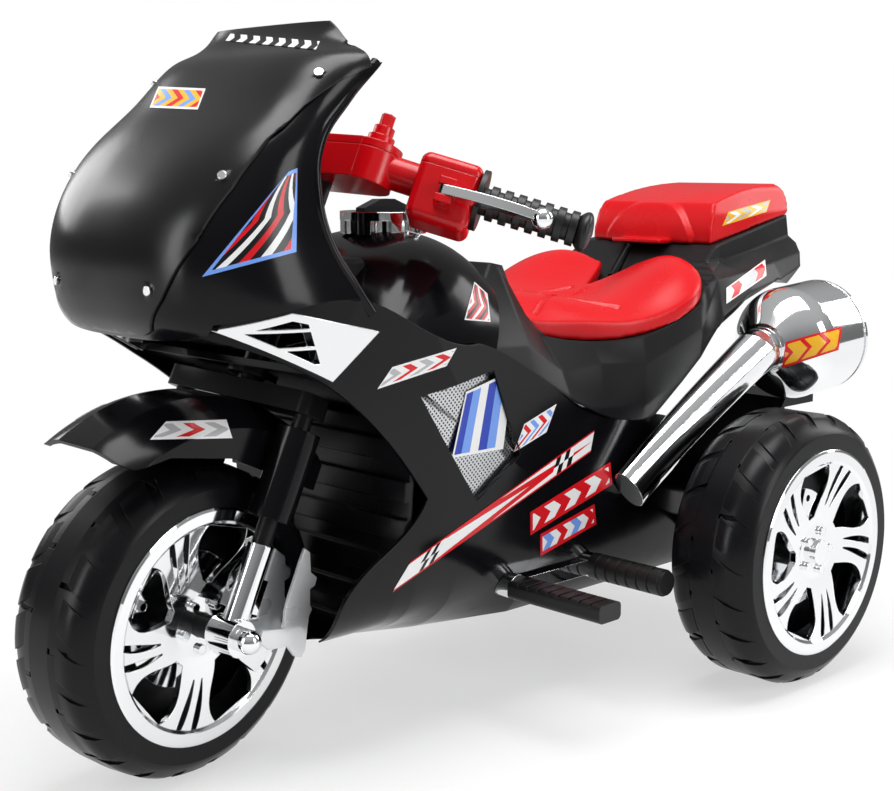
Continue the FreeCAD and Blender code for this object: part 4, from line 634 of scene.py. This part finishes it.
# %% Tread blocks
tyre_radius = 0.1462
tyre_half_width = 0.050
tyre_profile = [(1.000, 0.240), (0.985, 0.520), (0.945, 0.790), (0.870, 0.970)]
block_count = 22
block_share = 0.74
block_skew = math.radians(7.0)
block_from = 0.30
block_to = 0.94
block_rise = 0.0034
block_depth = 0.004
block_columns = 6
block_rows = 5
block_angle = 35.0


def tyre_surface(share):
    for (radius, width), (next_radius, next_width) in zip(tyre_profile, tyre_profile[1:]):
        if share <= next_width:
            along = max((share - width) / (next_width - width), 0.0)
            return tyre_radius * (radius + (next_radius - radius) * along)
    return tyre_radius * tyre_profile[-1][0]


def tread_ring(name, centre, axle, body):
    axle = axle.normalized()
    first = axle.cross(Vector((0.0, 0.0, 1.0))).normalized()
    second = axle.cross(first)
    deselect()
    bpy.ops.mesh.primitive_grid_add(
        x_subdivisions=block_columns, y_subdivisions=block_rows, size=1.0,
    )
    block = bpy.context.object
    for vertex in block.data.vertices:
        share = block_from + (block_to - block_from) * (vertex.co.y + 0.5)
        turn = math.tau / block_count * block_share * vertex.co.x + block_skew * (vertex.co.y + 0.5)
        above_floor = tyre_radius - abs(axle.z) * share * tyre_half_width
        reach = min(tyre_surface(share) + block_rise, above_floor)
        vertex.co = (share * tyre_half_width, turn, reach)
    thick = block.modifiers.new("wall", "SOLIDIFY")
    thick.thickness = block_depth
    thick.offset = 1.0
    bpy.ops.object.modifier_apply(modifier=thick.name)
    plan = [vertex.co.copy() for vertex in block.data.vertices]
    ring = []
    for side, stagger in ((1.0, 0.0), (-1.0, 0.5)):
        for index in range(block_count):
            copy = copy_object("block", block.data)
            start = math.tau * (index + stagger) / block_count
            for vertex, (across, turn, reach) in zip(copy.data.vertices, plan):
                angle = start + turn
                spoke = first * math.cos(angle) + second * math.sin(angle)
                vertex.co = centre + axle * (side * across) + spoke * reach
            ring.append(copy)
    deselect()
    block.select_set(True)
    bpy.context.view_layer.objects.active = block
    bpy.ops.object.delete()
    for copy in ring:
        copy.select_set(True)
    bpy.context.view_layer.objects.active = ring[0]
    bpy.ops.object.join()
    tread = bpy.context.object
    tread.name = name
    face_outwards()
    smooth_below(block_angle)
    tread.data.materials.clear()
    tread.data.materials.append(tyre_black)
    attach(tread, body)
    print(name, len(tread.data.polygons), "faces")


front_hub = Vector((0.359269, 0.0, 0.146481))
front_axle_line = Vector((-0.126134, 0.990268, -0.058817))
rear_left_hub = Vector((-0.260731, 0.248, 0.146481))
rear_right_hub = Vector((-0.260731, -0.248, 0.146481))
rear_axle_line = Vector((0.0, 1.0, 0.0))
tread_ring("front_tread", front_hub, front_axle_line, "front_wheel_set")
tread_ring("rear_left_tread", rear_left_hub, rear_axle_line, "rear_left_wheel_set")
tread_ring("rear_right_tread", rear_right_hub, rear_axle_line, "rear_right_wheel_set")

# %% [markdown]
# ## Stickers
# A sticker is a thin printed sheet that follows the surface under it.
# A flat grid is laid over the picture, each of its points is sent along its line of sight
# until it meets the panel, and it stops a hair above. Solidify then gives the sheet its thickness.
# The prints are plain stripes, chevrons and checks.

# %% Sticker finishes
ink_white = (0.80, 0.80, 0.80)
ink_black = (0.006, 0.006, 0.007)
ink_red = (0.62, 0.008, 0.014)
ink_blue = (0.02, 0.05, 0.42)
ink_sky = (0.16, 0.32, 0.78)
ink_gold = (0.80, 0.42, 0.02)
ink_grey = (0.42, 0.42, 0.44)
print_roughness = 0.24
print_specular = 0.4
check_rows = 2.0
check_shift = 0.01
flag_from = 0.30
flag_to = 0.40


def sticker_finish(name, colours, count, slant, border, border_colour, checks=0.0):
    material = bpy.data.materials.new(name)
    material.use_nodes = True
    tree = material.node_tree
    shader = tree.nodes["Principled BSDF"]
    shader.inputs["Roughness"].default_value = print_roughness
    shader.inputs["Specular IOR Level"].default_value = print_specular
    place = tree.nodes.new("ShaderNodeTexCoord")
    parts = tree.nodes.new("ShaderNodeSeparateXYZ")
    link(tree, place.outputs["UV"], parts.inputs["Vector"])
    along = parts.outputs["X"]
    across = parts.outputs["Y"]
    off_middle = number(tree, "ABSOLUTE", number(tree, "SUBTRACT", across, 0.5))
    lean = number(tree, "MULTIPLY", off_middle, slant)
    phase = number(tree, "FRACT", number(tree, "ADD", number(tree, "MULTIPLY", along, count), lean))
    ramp = tree.nodes.new("ShaderNodeValToRGB")
    ramp.color_ramp.interpolation = "CONSTANT"
    stops = ramp.color_ramp.elements
    while len(stops) < len(colours):
        stops.new(1.0)
    for index, colour in enumerate(colours):
        stops[index].position = index / len(colours)
        stops[index].color = (*colour, 1.0)
    link(tree, phase, ramp.inputs["Fac"])
    inner = ramp.outputs["Color"]
    if checks > 0.0:
        squares = tree.nodes.new("ShaderNodeTexChecker")
        squares.inputs["Scale"].default_value = 1.0
        squares.inputs["Color1"].default_value = (*ink_black, 1.0)
        squares.inputs["Color2"].default_value = (*ink_white, 1.0)
        spread = tree.nodes.new("ShaderNodeMapping")
        spread.inputs["Scale"].default_value = (checks, check_rows, 1.0)
        spread.inputs["Location"].default_value = (check_shift, check_shift, check_shift)
        link(tree, place.outputs["UV"], spread.inputs["Vector"])
        link(tree, spread.outputs["Vector"], squares.inputs["Vector"])
        middle = number(tree, "ABSOLUTE", number(tree, "SUBTRACT", along, 0.5))
        flag = number(tree, "MULTIPLY", number(tree, "GREATER_THAN", middle, flag_from),
                      number(tree, "LESS_THAN", middle, flag_to))
        inner = mixed_colour(tree, flag, inner, squares.outputs["Color"])
    ends = number(tree, "MINIMUM", along, number(tree, "SUBTRACT", 1.0, along))
    sides = number(tree, "MINIMUM", across, number(tree, "SUBTRACT", 1.0, across))
    rim = number(tree, "MAXIMUM", number(tree, "LESS_THAN", ends, border[0]),
                 number(tree, "LESS_THAN", sides, border[1]))
    link(tree, mixed_colour(tree, rim, inner, border_colour), shader.inputs["Base Color"])
    return material


print("inks and prints ready")

# %% [markdown]
# A point of the picture is a line of sight from the camera. The spot where the line meets the panel
# gives the place and the facing of the sheet there. A sheet over the perforated panel stays flat.
# The twin on the far side is a mirrored copy. On the steering, the mirror is turned with the fork.

# %% Lay a sticker on a panel
camera_right = forward.cross(Vector((0.0, 0.0, 1.0))).normalized()
camera_up = camera_right.cross(forward)
sticker_lift = 0.0005
sticker_thickness = 0.0003
sticker_rows = 8
flat_lift = 0.002
steering_axis = Vector((-0.422618, 0.0, 0.906308))
steering_turn = math.radians(8.0)
turned = (Matrix.Translation(front_hub) @ Matrix.Rotation(steering_turn, 4, steering_axis)
          @ Matrix.Translation(-front_hub))
other_side = Matrix.Scale(-1.0, 4, (0.0, 1.0, 0.0))


def sight(across, down):
    aside = camera_right * (across - image_width / 2)
    upward = camera_up * (image_height / 2 - down)
    return (forward * focal_pixels + aside + upward).normalized()


def first_hit(panel, ray):
    met, spot, normal, _ = panel.ray_cast(camera_place, ray)
    if not met:
        return None
    return spot, normal if normal.dot(ray) < 0.0 else -normal


def sticker(name, corners, panel, body, material, columns=16, both_sides=True, flat=False):
    low_left, low_right, high_right, high_left = [Vector(corner) for corner in corners]
    deselect()
    bpy.ops.mesh.primitive_grid_add(x_subdivisions=columns, y_subdivisions=sticker_rows, size=1.0)
    sheet = bpy.context.object
    sheet.name = name
    bpy.context.view_layer.update()
    rays = []
    hits = []
    for vertex in sheet.data.vertices:
        along, rise = vertex.co.x + 0.5, vertex.co.y + 0.5
        low = low_left.lerp(low_right, along)
        spot = low.lerp(high_left.lerp(high_right, along), rise)
        rays.append(sight(spot.x, spot.y))
        hits.append(first_hit(panel, rays[-1]))
    reached = [hit for hit in hits if hit]
    nearest = sorted((hit[0] - camera_place).length for hit in reached)
    usual = nearest[len(nearest) // 2]
    if flat:
        middle = sum((hit[0] for hit in reached), Vector()) / len(reached)
        facing = sum((hit[1] for hit in reached), Vector()).normalized()
    for vertex, ray, hit in zip(sheet.data.vertices, rays, hits):
        if flat:
            lifted = middle + facing * flat_lift
            reach = (lifted - camera_place).dot(facing) / ray.dot(facing)
            vertex.co = camera_place + ray * reach
        elif hit:
            vertex.co = hit[0] + hit[1] * sticker_lift
        else:
            vertex.co = camera_place + ray * usual
    missed = len(hits) - len(reached)
    wall = sheet.modifiers.new("wall", "SOLIDIFY")
    wall.thickness = sticker_thickness
    wall.offset = 0.0
    bpy.ops.object.modifier_apply(modifier=wall.name)
    face_outwards()
    smooth_below(usual_angle)
    sheet.data.materials.append(material)
    laid = [sheet]
    if both_sides:
        twin = copy_object(name + "_far", sheet.data)
        swap = turned @ other_side @ turned.inverted() if body == "steering" else other_side
        twin.data.transform(swap)
        twin.data.flip_normals()
        laid.append(twin)
    for piece in laid:
        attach(piece, body)
    print(name, "missed", missed, "of", len(hits))


print("sight lines ready")

# %% [markdown]
# The nose has a pointed print on each flank. The screen's band and badge lie across its middle,
# so they have no twin. The fender's flash turns with the fork.

# %% Stickers of the nose and fender
flank_print = sticker_finish(
    "flank_print", [ink_black, ink_red, ink_black, ink_white],
    count=2.0, slant=1.2, border=(0.06, 0.05), border_colour=ink_sky,
)
sticker(
    "nose_flank", [(202, 277), (296, 252), (297, 168), (288, 172)], nodes["nose_fairing"],
    "chassis", flank_print,
)
band_print = sticker_finish(
    "band_print", [ink_white, ink_black],
    count=7.0, slant=0.4, border=(0.0, 0.0), border_colour=ink_white,
)
sticker(
    "screen_band", [(226, 41), (316, 50), (320, 42), (231, 34)], shield,
    "chassis", band_print, both_sides=False,
)
badge_print = sticker_finish(
    "badge_print", [ink_red, ink_gold, ink_sky, ink_gold],
    count=2.0, slant=1.0, border=(0.03, 0.10), border_colour=ink_white,
)
sticker(
    "screen_badge", [(150, 108), (198, 110), (206, 89), (159, 87)], shield,
    "chassis", badge_print, both_sides=False,
)
fender_print = sticker_finish(
    "fender_print", [ink_white, ink_grey, ink_white, ink_red],
    count=1.5, slant=0.8, border=(0.02, 0.12), border_colour=ink_white,
)
sticker(
    "fender_flash", [(150, 440), (232, 438), (226, 420), (166, 422)], nodes["front_fender"],
    "steering", fender_print,
)

# %% [markdown]
# The body has most of the prints: a flash, bars over the perforated panel, a chevron,
# a long checked stripe and two plates. The tank's wing goes with them.

# %% Stickers of the body
oval_print = sticker_finish(
    "oval_print", [ink_white, ink_grey, ink_white, ink_red],
    count=2.0, slant=1.0, border=(0.02, 0.12), border_colour=ink_white,
)
sticker(
    "body_flash", [(377, 389), (446, 366), (456, 348), (392, 367)], nodes["body_left"],
    "chassis", oval_print,
)
bars_print = sticker_finish(
    "bars_print", [ink_blue, ink_sky, ink_white],
    count=2.0, slant=0.0, border=(0.03, 0.04), border_colour=ink_white,
)
sticker(
    "panel_bars", [(452, 458), (503, 449), (513, 370), (466, 392)], panels,
    "chassis", bars_print, flat=True,
)
chevron_print = sticker_finish(
    "chevron_print", [ink_sky, ink_white, ink_red, ink_white],
    count=2.0, slant=1.4, border=(0.03, 0.06), border_colour=ink_white,
)
sticker(
    "body_chevron", [(514, 452), (546, 432), (556, 404), (524, 424)], nodes["body_left"],
    "chassis", chevron_print,
)
stripe_print = sticker_finish(
    "stripe_print", [ink_white, ink_white, ink_red],
    count=1.0, slant=1.2, border=(0.0, 0.08), border_colour=ink_red, checks=40.0,
)
sticker(
    "body_stripe", [(392, 592), (590, 452), (594, 430), (410, 562)], nodes["body_left"],
    "chassis", stripe_print, columns=48,
)
plate_print = sticker_finish(
    "plate_print", [ink_white, ink_red],
    count=4.0, slant=0.9, border=(0.03, 0.14), border_colour=ink_red,
)
sticker(
    "body_plate_high", [(530, 535), (612, 484), (610, 462), (530, 512)], nodes["body_left"],
    "chassis", plate_print,
)
plain_print = sticker_finish(
    "plain_print", [ink_white, ink_sky, ink_white, ink_red],
    count=2.0, slant=0.5, border=(0.04, 0.16), border_colour=ink_red,
)
sticker(
    "body_plate_low", [(540, 556), (596, 524), (594, 504), (540, 534)], nodes["body_left"],
    "chassis", plain_print,
)
tank_print = sticker_finish(
    "tank_print", [ink_red, ink_white, ink_red, ink_black],
    count=2.0, slant=1.6, border=(0.05, 0.04), border_colour=ink_white,
)
sticker(
    "tank_wing", [(464, 320), (490, 322), (487, 294), (474, 282)], nodes["tank_cover"],
    "chassis", tank_print,
)

# %% [markdown]
# The lid's flash opens with the lid. The tail's grille is a patch of the perforated finish.

# %% Stickers of the tail
lid_print = sticker_finish(
    "lid_print", [ink_grey, ink_gold, ink_white, ink_gold],
    count=2.0, slant=1.0, border=(0.02, 0.10), border_colour=ink_gold,
)
sticker(
    "lid_flash", [(722, 226), (766, 212), (770, 200), (728, 212)], lid,
    "lid", lid_print,
)
tail_print = sticker_finish(
    "tail_print", [ink_white, ink_red, ink_white, ink_grey, ink_red],
    count=1.0, slant=0.2, border=(0.02, 0.08), border_colour=ink_white,
)
sticker(
    "tail_strip", [(726, 304), (766, 276), (765, 260), (726, 288)], nodes["tail_tub"],
    "chassis", tail_print,
)
pill_print = sticker_finish(
    "pill_print", [ink_gold, ink_red, ink_gold, ink_gold],
    count=3.0, slant=1.2, border=(0.04, 0.10), border_colour=ink_red,
)
sticker(
    "muffler_pill", [(782, 368), (838, 350), (842, 326), (786, 342)], nodes["mufflers"],
    "chassis", pill_print,
)
mesh_dark = perforated("mesh_dark", pitch=0.0036, hole_share=0.22, metal=(0.030, 0.030, 0.032))
sticker(
    "tail_grille", [(706, 285), (708, 285), (722, 258), (691, 262)], nodes["tail_tub"],
    "chassis", mesh_dark,
)

# %% [markdown]
# ## The caliper plate
# A flat bright plate stands beside the front wheel, behind the fork leg, and turns with the fork.
# Its outline is drawn on a plane that is square to the axle, and Solidify gives it its thickness.
# It stands free: no other piece touches it.

# %% Caliper plate
plate_out = 0.0800
plate_thickness = 0.0035
plate_round = 0.0008
plate_steps = 2
plate_angle = 30.0
plate_outline = [
    (304, 548), (309, 552), (310, 572), (316, 577), (314, 585), (309, 589), (309, 604), (311, 609),
    (308, 616), (306, 632), (304, 650), (300, 657), (293, 656), (286, 646), (268, 650), (258, 642),
    (262, 630), (283, 628), (284, 612), (288, 596), (294, 578), (299, 562),
]


def on_plate(across, down):
    ray = sight(across, down)
    middle = front_hub + front_axle_line * plate_out
    reach = (middle - camera_place).dot(front_axle_line) / ray.dot(front_axle_line)
    return camera_place + ray * reach


deselect()
bpy.ops.mesh.primitive_circle_add(vertices=len(plate_outline), fill_type="NGON")
plate = bpy.context.object
plate.name = "caliper_plate"
for vertex, (across, down) in zip(plate.data.vertices, plate_outline):
    vertex.co = on_plate(across, down)
plate.location = (0.0, 0.0, 0.0)
wall = plate.modifiers.new("wall", "SOLIDIFY")
wall.thickness = plate_thickness
wall.offset = 0.0
edge = plate.modifiers.new("edge", "BEVEL")
edge.width = plate_round
edge.segments = plate_steps
bpy.ops.object.modifier_apply(modifier=wall.name)
bpy.ops.object.modifier_apply(modifier=edge.name)
face_outwards()
smooth_below(plate_angle)
plate.data.materials.append(plate_silver)
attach(plate, "steering")
print("plate faces:", len(plate.data.polygons))

# %% [markdown]
# ## The stay before the latch
# A thin black stay stands on the tail, between the seat's lobes and the latch.
# It is a tapered rod between two points on the toy's middle plane.

# %% Stay
def on_middle(across, down):
    ray = sight(across, down)
    return camera_place - ray * (camera_place.y / ray.y)


stay_radius = 0.006
stay_taper_share = 0.7
stay_round = 0.001
stay_steps = 2
stay_sides = 24
stay_foot = on_middle(612, 277)
stay_head = on_middle(629, 245)
run = stay_head - stay_foot
deselect()
bpy.ops.mesh.primitive_cone_add(
    vertices=stay_sides, radius1=stay_radius, radius2=stay_radius * stay_taper_share,
    depth=run.length, location=(stay_foot + stay_head) / 2,
    rotation=run.to_track_quat("Z", "Y").to_euler(),
)
stay = bpy.context.object
stay.name = "latch_stay"
bpy.ops.object.transform_apply(location=True, rotation=True, scale=True)
bpy.ops.object.mode_set(mode="EDIT")
bpy.ops.mesh.select_all(action="SELECT")
bpy.ops.mesh.bevel(offset=stay_round, segments=stay_steps, affect="EDGES")
bpy.ops.object.mode_set(mode="OBJECT")
smooth_below(usual_angle)
stay.data.materials.append(satin_black)
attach(stay, "chassis")
print("stay from", [round(v, 3) for v in stay_foot], "to", [round(v, 3) for v in stay_head])
